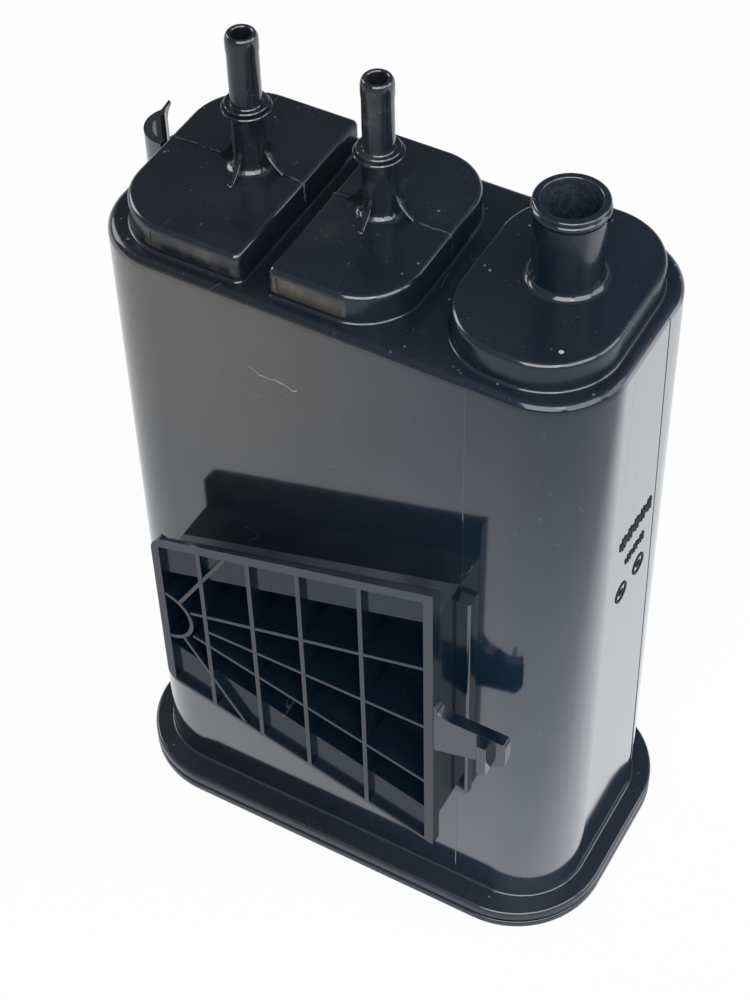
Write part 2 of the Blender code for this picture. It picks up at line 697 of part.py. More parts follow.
def hose_clip(name, parent):
    """The open clip on the left end for a thin hose: a half round band with a thin lip."""
    centre = (-BODY_LENGTH / 2 + CLEAR, CLIP_Y)
    steps = 12
    band = band_points(centre, CLIP_BORE + CLIP_BAND / 2, CLIP_BAND, -90, -212, steps)
    outer_end = band[steps]
    inner_end = band[steps + 1]
    tip_y = outer_end[1] + CLIP_LIP
    flare = CLIP_LIP_THICK / 2
    lip = [
        (outer_end[0] - flare, tip_y), (outer_end[0] - flare + CLIP_LIP_THICK, tip_y),
        (outer_end[0] + CLIP_LIP_THICK, outer_end[1] + flare),
    ]
    root = -BODY_LENGTH / 2 + WALL / 2
    points = band[:steps + 1] + lip + band[steps + 1:] + [(root, band[-1][1]), (root, band[0][1])]
    top = Z_SHOULDER + CLIP_ABOVE
    bm = bmesh.new()
    prism_into(bm, points, "Z", top - CLIP_LENGTH, top)
    clip = add_object(name, bm, parent=parent)

    bm = bmesh.new()
    free = inner_end[1] + CLIP_BAND / 2
    far = tip_y + SINK
    low = top - CLIP_LENGTH - SINK
    horn = [(far, low), (far, top - flare), (tip_y - flare, top - CLIP_LIP_THICK)]
    for step in range(1, 5):
        share = step / 4
        horn.append((mix(tip_y - flare, free, math.sin(share * math.pi / 2)),
                     top - CLIP_LIP_THICK - CLIP_HORN * share))
    horn.append((free, low))
    prism_into(bm, horn, "X", outer_end[0] - CLIP_BORE, inner_end[0] + CLIP_BORE / 2)
    combine(clip, add_object(name + "_cut", bm, parent=parent), "DIFFERENCE")
    return clip


def cavity(name, parent):
    """The whole hollow of the housing, open at the bottom."""
    bm = bmesh.new()
    loft_into(bm, [
        (wall_outline(Z_FLANGE, WALL), Z_FLANGE_LOW - SINK),
        (wall_outline(Z_FLANGE, WALL), Z_FLANGE),
        (wall_outline(Z_SHOULDER, WALL), Z_CEILING - EDGE_RADIUS / 2),
        (wall_outline(Z_SHOULDER, WALL + EDGE_RADIUS / 2), Z_CEILING),
    ])
    return add_object(name, bm, parent=parent)


def inner_wall(name, x, z_low, parent):
    """An upright wall across the hollow, which follows the draft of the outer walls."""
    def half(z):
        share = (z - Z_FLANGE) / WALL_HEIGHT
        return mix(FOOT_DEPTH, BODY_DEPTH, share) / 2 - WALL / 2

    top = Z_CEILING + ROOF / 2
    points = [(-half(z_low), z_low), (half(z_low), z_low), (half(top) - EDGE_RADIUS, top),
              (-half(top) + EDGE_RADIUS, top)]
    shoulder = Z_SHOULDER - EDGE_RADIUS
    points.insert(2, (half(shoulder), shoulder))
    points.append((-half(shoulder), shoulder))
    bm = bmesh.new()
    prism_into(bm, points, "X", x - PARTITION / 2, x + PARTITION / 2)
    return add_object(name, bm, parent=parent)


def housing(finish):
    """The one piece moulded housing, joined and cut from its features."""
    helpers = bpy.data.objects.new("housing_helpers", None)
    bpy.context.scene.collection.objects.link(helpers)
    body = body_shell(finish)
    covers = (
        ("boss_tank", TANK_LOW, TANK_HIGH, TANK_RADIUS, BOSS_SHARP),
        ("boss_purge", PURGE_LOW, PURGE_HIGH, BOSS_SHARP, PURGE_RADIUS),
        ("boss_air", AIR_LOW, AIR_HIGH, AIR_RADIUS, AIR_RADIUS),
    )
    plate = bracket_solid("bracket_plate", helpers)
    combine(plate, bracket_pockets("pockets_shallow", helpers, deep=False), "DIFFERENCE")
    neck = bracket_neck("bracket_neck", helpers)

    joined = [boss(*cover, helpers) for cover in covers]
    joined.append(hose_port("port_tank", TANK_PORT, helpers))
    joined.append(hose_port("port_purge", PURGE_PORT, helpers))
    joined.append(air_port("port_air", AIR_PORT, helpers))
    joined += gussets("gusset_tank", TANK_PORT, helpers)
    joined += gussets("gusset_purge", PURGE_PORT, helpers)
    joined += [neck, plate]
    for piece in joined:
        combine(body, piece, "UNION")
    combine(body, bracket_pockets("pockets_deep", helpers, deep=True), "DIFFERENCE")
    for rail in bracket_rails(helpers):
        combine(body, rail, "UNION")
    for maker in (neck_strip, snap_arm, snap_hook, hose_clip):
        combine(body, maker(maker.__name__, helpers), "UNION")
    combine(body, cavity("cavity", helpers), "DIFFERENCE")
    for name, *rest in covers:
        combine(body, plenum(name.replace("boss", "plenum"), *rest, helpers), "DIFFERENCE")
    combine(body, inner_wall("partition", PARTITION_X, BOTTOM_SPACE, helpers), "UNION")
    combine(body, inner_wall("divider", DIVIDER_X, Z_CEILING - DIVIDER_DROP, helpers), "UNION")
    bores = (
        ("bore_tank", TANK_PORT, HOSE_BORE, HOSE_PORT_HEIGHT, HOSE_SIDES),
        ("bore_purge", PURGE_PORT, HOSE_BORE, HOSE_PORT_HEIGHT, HOSE_SIDES),
        ("bore_air", AIR_PORT, AIR_BORE, AIR_PORT_HEIGHT, AIR_SIDES),
    )
    for bore in bores:
        combine(body, port_bore(*bore, helpers), "DIFFERENCE")
    combine(body, label_panels(helpers), "DIFFERENCE")
    return body


def spring_places():
    """The middles of the springs: four under the large bed and two under the small one."""
    end = FOOT_LENGTH / 2 - WALL
    row = FOOT_DEPTH / 4 - WALL / 2
    left = -end
    middle = PARTITION_X
    places = []
    for share in (0.27, 0.75):
        for y in (-row, row):
            places.append(("spring_main", (mix(left, middle, share), y)))
    for y in (-row, row):
        places.append(("spring_vent", (mix(middle, end, 0.48), y)))
    return places


def bottom_cover(finish):
    """The welded bottom: grooved rim, locating rib, spring seats and ribbed underside."""
    floor = COVER_EDGE
    bm = bmesh.new()
    loft_into(bm, [
        (flange_outline(FLANGE_CHAMFER), 0),
        (flange_outline(0), FLANGE_CHAMFER),
        (flange_outline(0), floor - WELD_GROOVE),
        (flange_outline(WELD_INSET), floor - WELD_GROOVE),
        (flange_outline(WELD_INSET), floor),
    ])
    cover = add_object("bottom_cover", bm, finish)
    helpers = bpy.data.objects.new("cover_helpers", None)
    bpy.context.scene.collection.objects.link(helpers)

    bm = bmesh.new()
    rib_top = floor + COVER_LIP
    inset = WALL + CLEAR
    loft_into(bm, [
        (wall_outline(Z_FLANGE, inset), floor - SINK), (wall_outline(Z_FLANGE, inset), rib_top)])
    combine(cover, add_object("cover_rib", bm, parent=helpers), "UNION")
    bm = bmesh.new()
    loft_into(bm, [
        (wall_outline(Z_FLANGE, inset + COVER_RIB), floor),
        (wall_outline(Z_FLANGE, inset + COVER_RIB), rib_top + SINK)])
    combine(cover, add_object("cover_well", bm, parent=helpers), "DIFFERENCE")

    bm = bmesh.new()
    for _, centre in spring_places():
        radius = SPRING_RADIUS - SPRING_WIRE - CLEAR
        top = floor + SEAT_HEIGHT
        revolve_into(bm, [
            (0, floor - SINK), (radius, floor - SINK), (radius, top - SPRING_WIRE),
            (radius - SPRING_WIRE, top), (0, top)], centre, 12)
    combine(cover, add_object("cover_seats", bm, parent=helpers), "UNION")

    bm = bmesh.new()
    columns = 4
    half_length = FOOT_LENGTH / 2 - COVER_RIB
    half_depth = FOOT_DEPTH / 2 - COVER_RIB
    pitch = 2 * half_length / columns
    for column in range(columns):
        x = -half_length + column * pitch
        for low, high in ((-half_depth, 0), (0, half_depth)):
            plan = outline(
                x + COVER_RIB / 2, x + pitch - COVER_RIB / 2, (high - low - COVER_RIB) / 2,
                2 * COVER_RIB, 2 * COVER_RIB, 2)
            plan = [(px, py + (low + high) / 2) for px, py in plan]
            loft_into(bm, [(plan, -SINK), (plan, UNDERCUT)])
    combine(cover, add_object("cover_pockets", bm, parent=helpers), "DIFFERENCE")
    return cover


def block(name, finish, z_low, z_high, x_low, x_high):
    """A pad or bed that fills one chamber between two heights."""
    bm = bmesh.new()
    loft_into(bm, [
        (chamber_outline(z_low, x_low, x_high, CLEAR), z_low),
        (chamber_outline(z_high, x_low, x_high, CLEAR), z_high),
    ])
    return add_object(name, bm, finish)


def pressure_plate(name, finish, z_low, x_low, x_high, springs):
    """A perforated plate that presses the bed up, with a peg inside each spring."""
    plate = block(name, finish, z_low, z_low + PLATE_THICK, x_low, x_high)
    bm = bmesh.new()
    radius = SPRING_RADIUS - SPRING_WIRE - CLEAR
    for centre in springs:
        low = z_low - SEAT_HEIGHT
        revolve_into(bm, [
            (0, low), (radius - SPRING_WIRE, low), (radius, low + SPRING_WIRE),
            (radius, z_low + SINK), (0, z_low + SINK)], centre, 12)
    combine(plate, add_object(name + "_pegs", bm), "UNION")

    low = x_low if x_low is not None else -FOOT_LENGTH / 2 + WALL
    high = x_high if x_high is not None else FOOT_LENGTH / 2 - WALL
    span = high - low - 2 * HOLE_PITCH
    depth = FOOT_DEPTH - 2 * WALL - 2 * HOLE_PITCH
    columns = int(span / HOLE_PITCH) + 1
    rows = int(depth / HOLE_PITCH) + 1
    bm = bmesh.new()
    for column in range(columns):
        x = (low + high) / 2 + (column - (columns - 1) / 2) * HOLE_PITCH
        for row in range(rows):
            y = (row - (rows - 1) / 2) * HOLE_PITCH
            clear_of_pegs = all(
                math.hypot(x - cx, y - cy) > radius + HOLE_RADIUS + SPRING_WIRE for cx, cy in springs)
            if clear_of_pegs:
                revolve_into(bm, [
                    (0, z_low - SINK), (HOLE_RADIUS, z_low - SINK),
                    (HOLE_RADIUS, z_low + PLATE_THICK + SINK), (0, z_low + PLATE_THICK + SINK)],
                    (x, y), 8)
    combine(plate, add_object(name + "_holes", bm), "DIFFERENCE")
    return plate


def spring(name, finish, centre, z_low, height):
    """A coil spring: a round wire swept along a helix, with closed ends."""
    per_turn = 10
    sides = 5
    count = int(SPRING_TURNS * per_turn) + 1
    bm = bmesh.new()
    rings = []
    for i in range(count):
        share = i / (count - 1)
        angle = 2 * math.pi * i / per_turn
        z = z_low + SPRING_WIRE + (height - 2 * SPRING_WIRE) * share
        ring = []
        for side in range(sides):
            turn = 2 * math.pi * (side + 0.5) / sides
            radius = SPRING_RADIUS + SPRING_WIRE * math.cos(turn)
            ring.append(bm.verts.new((
                centre[0] + radius * math.cos(angle), centre[1] + radius * math.sin(angle),
                z + SPRING_WIRE * math.sin(turn))))
        rings.append(ring)
    for first, second in zip(rings, rings[1:]):
        for i in range(sides):
            j = (i + 1) % sides
            bm.faces.new((first[i], first[j], second[j], second[i]))
    bm.faces.new(rings[0])
    bm.faces.new(rings[-1])
    return add_object(name, bm, finish)


def carbon_bed(name, finish, z_low, z_high, x_low, x_high):
    """A bed of carbon granules as one solid; the large one is slotted for the divider."""
    bed = block(name, finish, z_low, z_high, x_low, x_high)
    if x_low is None:
        bm = bmesh.new()
        half = PARTITION / 2 + CLEAR
        points = [
            (DIVIDER_X - half, -BODY_DEPTH), (DIVIDER_X + half, -BODY_DEPTH),
            (DIVIDER_X + half, BODY_DEPTH), (DIVIDER_X - half, BODY_DEPTH)]
        prism_into(bm, points, "Z", Z_CEILING - DIVIDER_DROP - CLEAR, z_high + SINK)
        combine(bed, add_object(name + "_slot", bm), "DIFFERENCE")
    return bed


def filling(finishes):
    """Everything that is stacked inside, from the springs up to the filter pads."""
    seat = COVER_EDGE + CLEAR
    z_plate = seat + SPRING_HEIGHT + CLEAR
    z_pad = z_plate + PLATE_THICK + CLEAR
    z_bed = z_pad + PAD_BOTTOM + CLEAR
    z_top_pad = Z_CEILING - EDGE_RADIUS / 2 - PAD_TOP - CLEAR
    z_bed_top = z_top_pad - CLEAR
    half = PARTITION / 2
    chambers = {"main": (None, PARTITION_X - half), "vent": (PARTITION_X + half, None)}
    places = spring_places()
    for chamber, (x_low, x_high) in chambers.items():
        carbon_bed("carbon_bed_" + chamber, finishes["carbon"], z_bed, z_bed_top, x_low, x_high)
        block("lower_pad_" + chamber, finishes["felt"], z_pad, z_pad + PAD_BOTTOM, x_low, x_high)
        own = [centre for kind, centre in places if kind == "spring_" + chamber]
        pressure_plate("pressure_plate_" + chamber, finishes["plate"], z_plate, x_low, x_high, own)
        for index, centre in enumerate(own, start=1):
            spring(f"spring_{chamber}_{index}", finishes["steel"], centre, seat, SPRING_HEIGHT)
    pads = (
        ("filter_pad_tank", None, DIVIDER_X - half),
        ("filter_pad_purge", DIVIDER_X + half, PARTITION_X - half),
        ("filter_pad_air", PARTITION_X + half, None),
    )
    for name, x_low, x_high in pads:
        block(name, finishes["foam"], z_top_pad, z_top_pad + PAD_TOP, x_low, x_high)


def main():
    """Clear the scene and build every piece."""
    for obj in list(bpy.data.objects):
        bpy.data.objects.remove(obj)
    finishes = {
        "nylon": material("black_nylon", (0.018, 0.020, 0.024), 0.28),
        "cover": material("cover_nylon", (0.022, 0.023, 0.027), 0.34),
        "carbon": material("carbon_granules", (0.012, 0.012, 0.012), 0.85),
        "felt": material("grey_felt", (0.42, 0.42, 0.40), 0.95),
        "foam": material("filter_foam", (0.16, 0.17, 0.18), 0.95),
        "plate": material("plate_nylon", (0.55, 0.54, 0.50), 0.5),
        "steel": material("spring_steel", (0.62, 0.61, 0.58), 0.3, 1.0),
    }
    housing(finishes["nylon"])
    bottom_cover(finishes["cover"])
    filling(finishes)


main()
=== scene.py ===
"""Looks of the charcoal canister: glossy black moulded nylon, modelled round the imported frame.

The housing, its slide bracket, its hose clip and the welded cover are modelled finely here and
stand for the plain solids of the frame. What is sealed inside keeps its solids and is dressed.
Lengths are in metres. X runs along the long side, the bracket faces -Y and Z is up.
"""

import logging
import math
from contextlib import contextmanager
from dataclasses import dataclass
from enum import Enum
from functools import cached_property
from typing import Any, Callable, Iterator, Optional, Sequence, Union

import bmesh
import bpy
from mathutils import Matrix, Vector


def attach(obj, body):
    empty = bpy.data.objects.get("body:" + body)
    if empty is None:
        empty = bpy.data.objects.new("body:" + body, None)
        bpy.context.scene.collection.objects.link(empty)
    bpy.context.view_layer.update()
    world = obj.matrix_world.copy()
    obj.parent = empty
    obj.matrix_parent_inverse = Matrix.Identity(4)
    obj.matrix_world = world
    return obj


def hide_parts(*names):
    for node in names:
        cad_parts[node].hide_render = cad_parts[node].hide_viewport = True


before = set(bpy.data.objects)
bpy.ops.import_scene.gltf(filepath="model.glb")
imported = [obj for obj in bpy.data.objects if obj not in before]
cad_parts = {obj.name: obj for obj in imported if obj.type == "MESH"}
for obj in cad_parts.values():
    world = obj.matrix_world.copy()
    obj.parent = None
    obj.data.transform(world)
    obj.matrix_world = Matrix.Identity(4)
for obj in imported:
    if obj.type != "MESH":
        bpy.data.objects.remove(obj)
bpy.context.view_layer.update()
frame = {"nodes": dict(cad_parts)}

log = logging.getLogger("canister")

MM = 0.001
NEAR = 1e-5  # heights and places closer than this are the same
MERGE = 1e-6  # vertices closer than this become one
ALONG = 0.9  # a direction with this much of an axis runs along it
BITE = 1 * MM  # how far pieces that are joined or cut reach into each other

Pair = tuple[float, float]
Point = tuple[float, float, float]
Colour = tuple[float, float, float, float]
Rule = Callable[[Vector, Vector], bool]


class Part(Enum):
    """What a rule picks in edit mode."""

    VERT = "VERT"
    EDGE = "EDGE"
    FACE = "FACE"


class Cut(Enum):
    """How a second solid changes the first."""

    JOIN = "UNION"
    REMOVE = "DIFFERENCE"


def mix(low: float, high: float, share: float) -> float:
    """Return the value at a share of the way from low to high."""
    return low + (high - low) * share


def upright(middle: Vector, line: Vector) -> bool:
    """Pick the edges that run along Z."""
    return abs(line.z) > ALONG


def front_to_back(middle: Vector, line: Vector) -> bool:
    """Pick the edges that run along Y."""
    return abs(line.y) > ALONG


class Workpiece:
    """One mesh under work, shaped with the edit mode operators."""

    def __init__(self, obj: bpy.types.Object, name: str) -> None:
        """Take over a new primitive and put its place into its mesh.

        Args:
            obj: The primitive.
            name: The name that it gets.
        """
        self.obj = obj
        obj.name = obj.data.name = name
        bpy.ops.object.transform_apply(location=True, rotation=True, scale=True)

    @classmethod
    def block(cls, name: str, low: Point, high: Point, turn: Point = (0, 0, 0)) -> "Workpiece":
        """Start from a box.

        Args:
            name: The object's name.
            low: Its lowest corner before it is turned.
            high: Its highest corner.
            turn: Its rotation about its own middle.

        Returns:
            The workpiece.
        """
        bpy.ops.object.select_all(action="DESELECT")
        low_corner, high_corner = Vector(low), Vector(high)
        bpy.ops.mesh.primitive_cube_add(
            size=1, location=(low_corner + high_corner) / 2, rotation=turn,
            scale=high_corner - low_corner)
        return cls(bpy.context.active_object, name)

    @classmethod
    def turned(cls, name: str, centre: Pair, profile: Sequence[Pair], sides: int) -> "Workpiece":
        """Draw a round piece ring by ring, from a disc that is extruded and resized.

        Args:
            name: The object's name.
            centre: Its axis in plan.
            profile: Radius and height of each ring, from the first disc to the last.
            sides: How many sides a ring has.

        Returns:
            The workpiece, closed at both ends.
        """
        bpy.ops.object.select_all(action="DESELECT")
        radius, height = profile[0]
        bpy.ops.mesh.primitive_circle_add(
            vertices=sides, radius=radius, fill_type="NGON", location=(*centre, height))
        piece = cls(bpy.context.active_object, name)
        with piece.editing(Part.FACE):
            bpy.ops.mesh.select_all(action="SELECT")
            for new_radius, new_height in profile[1:]:
                bpy.ops.mesh.extrude_region_move(
                    TRANSFORM_OT_translate={"value": (0, 0, new_height - height)})
                scale = new_radius / radius
                bpy.ops.transform.resize(
                    value=(scale, scale, 1), center_override=(*centre, new_height))
                radius, height = new_radius, new_height
            piece.close()
        return piece

    def activate(self) -> None:
        """Select this piece alone and make it the active one."""
        bpy.ops.object.select_all(action="DESELECT")
        self.obj.select_set(True)
        bpy.context.view_layer.objects.active = self.obj

    @contextmanager
    def editing(self, part: Part) -> Iterator[None]:
        """Go into edit mode on this piece alone, with nothing selected.

        Args:
            part: What is selected there.

        Returns:
            A context that leaves edit mode at its end.
        """
        self.activate()
        bpy.ops.object.mode_set(mode="EDIT")
        bpy.ops.mesh.select_mode(type=part.value)
        bpy.ops.mesh.select_all(action="DESELECT")
        yield
        bpy.ops.object.mode_set(mode="OBJECT")

    def close(self) -> None:
        """Merge what meets and turn all faces outwards, in edit mode."""
        bpy.ops.mesh.select_all(action="SELECT")
        bpy.ops.mesh.remove_doubles(threshold=MERGE)
        bpy.ops.mesh.normals_make_consistent(inside=False)

    def pick(self, part: Part, rule: Rule) -> int:
        """Select what meets a rule.

        Args:
            part: Vertices, edges or faces.
            rule: Is given the middle, and the normal (an edge's direction), of each.

        Returns:
            How many were picked.
        """
        mesh = bmesh.from_edit_mesh(self.obj.data)
        mesh.normal_update()
        if part is Part.VERT:
            found = [(v, v.co, v.normal) for v in mesh.verts]
        elif part is Part.EDGE:
            found = [(e, (e.verts[0].co + e.verts[1].co) / 2,
                      (e.verts[1].co - e.verts[0].co).normalized()) for e in mesh.edges]
        else:
            found = [(f, f.calc_center_median(), f.normal) for f in mesh.faces]
        count = 0
        for item, middle, direction in found:
            chosen = rule(middle, direction)
            item.select_set(chosen)
            count += chosen
        mesh.select_flush_mode()
        bmesh.update_edit_mesh(self.obj.data)
        return count

    def round_edges(self, rule: Rule, radius: float, segments: int) -> None:
        """Bevel the edges that meet a rule to a round.

        Args:
            rule: Picks the edges by middle and direction.
            radius: The round's radius.
            segments: Its segments.
        """
        with self.editing(Part.EDGE):
            if self.pick(Part.EDGE, rule):
                bpy.ops.mesh.bevel(offset=radius, segments=segments, profile=0.5, affect="EDGES")

    def fillet_foot(self, height: float, radius: float, segments: int) -> None:
        """Fill the corner where standing walls meet a flat face at a height.

        Args:
            height: The flat face's height.
            radius: The fillet's radius.
            segments: Its segments.
        """
        standing, flat = 0.3, 0.95
        with self.editing(Part.EDGE):
            mesh = bmesh.from_edit_mesh(self.obj.data)
            mesh.normal_update()
            for edge in mesh.edges:
                level = all(abs(v.co.z - height) < NEAR for v in edge.verts)
                tilts = sorted(abs(f.normal.z) for f in edge.link_faces)
                edge.select_set(
                    level and len(tilts) == 2 and tilts[0] < standing and tilts[1] > flat)
            mesh.select_flush_mode()
            bmesh.update_edit_mesh(self.obj.data)
            bpy.ops.mesh.bevel(offset=radius, segments=segments, profile=0.5, affect="EDGES")

    def shift(self, rule: Rule, offset: Point) -> None:
        """Move the vertices that meet a rule.

        Args:
            rule: Picks the vertices by place and normal.
            offset: How far they move.
        """
        with self.editing(Part.VERT):
            if self.pick(Part.VERT, rule):
                bpy.ops.transform.translate(value=offset)

    def scale(self, rule: Rule, factor: Point, centre: Point) -> None:
        """Resize the vertices that meet a rule about a centre.

        Args:
            rule: Picks the vertices by place and normal.
            factor: The scale along each axis.
            centre: What stays in place.
        """
        with self.editing(Part.VERT):
            if self.pick(Part.VERT, rule):
                bpy.ops.transform.resize(value=factor, center_override=centre)

    def apply(self, kind: str, **settings: Any) -> None:
        """Add a modifier and apply it.

        Args:
            kind: The modifier's type.
            **settings: Its properties.
        """
        self.activate()
        modifier = self.obj.modifiers.new(kind, kind)
        for key, value in settings.items():
            setattr(modifier, key, value)
        bpy.ops.object.modifier_apply(modifier=modifier.name)

    def combine(self, how: Cut, *others: "Workpiece") -> None:
        """Join other pieces to this one or cut them away, and use them up.

        Args:
            how: Whether they are joined or removed.
            *others: The pieces, in order.
        """
        for other in others:
            self.apply("BOOLEAN", operation=how.value, solver="EXACT", object=other.obj)
            bpy.data.objects.remove(other.obj)

    def soften(self, width: float, segments: int = 2) -> None:
        """Take the sharpness off all hard edges."""
        self.apply("BEVEL", width=width, segments=segments, limit_method="ANGLE",
                   angle_limit=math.radians(40), use_clamp_overlap=True)

    def finish(self, material: bpy.types.Material, slot: str,
               stands_for: Optional[str] = None) -> bpy.types.Object:
        """Shade the piece, dress it and put it on the frame.

        Args:
            material: Its finish.
            slot: The name of a material slot; not used.
            stands_for: The node of the frame that it replaces, or nothing.

        Returns:
            The object.
        """
        with self.editing(Part.VERT):
            bpy.ops.mesh.select_all(action="SELECT")
            bpy.ops.mesh.remove_doubles(threshold=MERGE)
        self.activate()
        bpy.ops.object.shade_smooth_by_angle(angle=math.radians(38))
        self.apply("WEIGHTED_NORMAL", mode="FACE_AREA", weight=60, keep_sharp=True)
        self.obj.data.materials.clear()
        self.obj.data.materials.append(material)
        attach(self.obj, "root")
        if stands_for:
            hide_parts(stands_for)
        log.info("%s: %d faces", self.obj.name, len(self.obj.data.polygons))
        return self.obj


Operand = Union["Wire", float]


class Wire:
    """A shader socket that takes part in Python expressions."""

    def __init__(self, graph: "Graph", socket: Optional[bpy.types.NodeSocket]) -> None:
        """Remember the socket and its graph."""
        self.graph = graph
        self.socket = socket

    def _math(self, operation: str, first: Operand, second: Operand = 0.0) -> "Wire":
        """Add a Math node."""
        return self.graph.node("ShaderNodeMath", {"operation": operation}, [first, second])

    def __add__(self, other: Operand) -> "Wire":
        """Add."""
        return self._math("ADD", self, other)

    __radd__ = __add__

    def __sub__(self, other: Operand) -> "Wire":
        """Subtract."""
        return self._math("SUBTRACT", self, other)

    def __rsub__(self, other: Operand) -> "Wire":
        """Subtract from a number."""
        return self._math("SUBTRACT", other, self)

    def __mul__(self, other: Operand) -> "Wire":
        """Multiply."""
        return self._math("MULTIPLY", self, other)

    __rmul__ = __mul__

    def __truediv__(self, other: Operand) -> "Wire":
        """Divide."""
        return self._math("DIVIDE", self, other)

    def __abs__(self) -> "Wire":
        """Return the size without its sign."""
        return self._math("ABSOLUTE", self)

    def __lt__(self, other: Operand) -> "Wire":
        """Return one where it is smaller."""
        return self._math("LESS_THAN", self, other)

    def __gt__(self, other: Operand) -> "Wire":
        """Return one where it is larger."""
        return self._math("GREATER_THAN", self, other)

    def inside(self, low: float, high: float) -> "Wire":
        """Return one between two limits."""
        return (self > low) * (self < high)

    def clamp(self) -> "Wire":
        """Keep it between zero and one."""
        return self.graph.node("ShaderNodeClamp", {}, [self])

    def ramp(self, low: float, high: float) -> "Wire":
        """Return a smooth step from zero at low to one at high."""
        return self.graph.node("ShaderNodeMapRange", {"interpolation_type": "SMOOTHSTEP"},
                               [self, low, high, 0.0, 1.0])

    def fall(self, low: float, high: float) -> "Wire":
        """Return a smooth step from one at low to zero at high."""
        return 1.0 - self.ramp(low, high)


class Graph:
    """The node tree of a world or a material."""

    def __init__(self, tree: bpy.types.NodeTree) -> None:
        """Empty the tree."""
        self.tree = tree
        tree.nodes.clear()

    def node(self, kind: str, settings: dict[str, Any],
             inputs: Union[Sequence[Any], dict[Any, Any]], output: Union[int, str] = 0) -> Wire:
        """Add any node.

        Args:
            kind: The node's type.
            settings: Its properties, set first.
            inputs: Values or wires of its sockets, in order or by name.
            output: Which output to return.

        Returns:
            The output as a wire.
        """
        node = self.tree.nodes.new(kind)
        for key, value in settings.items():
            setattr(node, key, value)
        for key, value in inputs.items() if isinstance(inputs, dict) else enumerate(inputs):
            if isinstance(value, Wire):
                self.tree.links.new(value.socket, node.inputs[key])
            else:
                node.inputs[key].default_value = value
        return Wire(self, node.outputs[output] if len(node.outputs) else None)

    def blend(self, share: Operand, first: Any, second: Any) -> Wire:
        """Mix two colours."""
        sockets = {0: share, 6: first, 7: second}
        return self.node("ShaderNodeMix", {"data_type": "RGBA"}, sockets, 2)


class Surface(Graph):
    """A material's node tree, with the place and direction of each point on the piece."""

    def __init__(self, tree: bpy.types.NodeTree) -> None:
        """Empty the tree and read the Object coordinates.

        Args:
            tree: The material's tree.
        """
        super().__init__(tree)
        self.where = self.node("ShaderNodeTexCoord", {}, [], "Object")
        self.x, self.y, self.z = self.parts(self.where)

    def parts(self, vector: Wire) -> list[Wire]:
        """Return the three parts of a vector."""
        return [self.node("ShaderNodeSeparateXYZ", {}, [vector], axis) for axis in "XYZ"]

    @cached_property
    def normal(self) -> list[Wire]:
        """Return how far the surface faces right, back and up."""
        return self.parts(self.node("ShaderNodeNewGeometry", {}, [], "Normal"))

    def noise(self, size: float, detail: float = 3.0, stretch: Point = (1, 1, 1)) -> Wire:
        """Return noise with spots of a size, drawn out by a stretch.

        Args:
            size: The spots' size.
            detail: How many finer layers it has.
            stretch: How much longer a spot is along each axis.

        Returns:
            The noise, about a half on the whole.
        """
        scale = [1 / (size * longer) for longer in stretch]
        scaled = self.node("ShaderNodeMapping", {}, {"Vector": self.where, "Scale": scale})
        return self.node(
            "ShaderNodeTexNoise", {}, {"Vector": scaled, "Scale": 1.0, "Detail": detail})

    def cells(self, size: float) -> Wire:
        """Return the distance to the nearest of scattered points, in parts of their spacing."""
        return self.node(
            "ShaderNodeTexVoronoi", {}, {"Vector": self.where, "Scale": 1 / size}, "Distance")

    def spot(self, centre: Pair, radius: float) -> Wire:
        """Return a soft round spot in plan, one in its middle."""
        across, along = self.x - centre[0], self.y - centre[1]
        return (1.0 - (across * across + along * along) / radius ** 2).clamp()

    def bump(self, height: Wire, depth: float) -> Wire:
        """Turn a height in parts of a depth into a normal."""
        return self.node(
            "ShaderNodeBump", {}, {"Strength": 1.0, "Distance": depth, "Height": height}, "Normal")


@dataclass(frozen=True)
class Patches:
    """Cloudy patches: noise whose band from low to high becomes a soft mask."""

    size: float
    low: float
    high: float
    detail: float = 3.0
    stretch: Point = (1, 1, 1)

    def mask(self, at: Surface) -> Wire:
        """Return the mask on a surface."""
        return at.noise(self.size, self.detail, self.stretch).ramp(self.low, self.high)


@dataclass(frozen=True)
class Specks:
    """Round specks on scattered points, thick in some patches and missing in others."""

    spacing: float
    radius: float
    edge: float
    patches: Patches

    def mask(self, at: Surface) -> Wire:
        """Return the mask on a surface."""
        return (self.radius - at.cells(self.spacing)).ramp(0.0, self.edge) * self.patches.mask(at)


def opaque(red: float, green: float, blue: float) -> Colour:
    """Return a colour with full alpha."""
    return (red, green, blue, 1.0)


@dataclass(frozen=True)
class Finish:
    """A finish that every piece of the canister builds on."""

    name: str
    base: Colour
    roughness: float

    def build(self) -> bpy.types.Material:
        """Make the material.

        Returns:
            The material with its nodes.
        """
        material = bpy.data.materials.new(self.name)
        material.use_nodes = True
        at = Surface(material.node_tree)
        shader = at.node("ShaderNodeBsdfPrincipled", {}, self.sockets(at))
        at.node("ShaderNodeOutputMaterial", {}, {"Surface": shader})
        material.diffuse_color = self.base
        return material

    def sockets(self, at: Surface) -> dict[str, Any]:
        """Return the values and wires of the Principled shader."""
        raise NotImplementedError


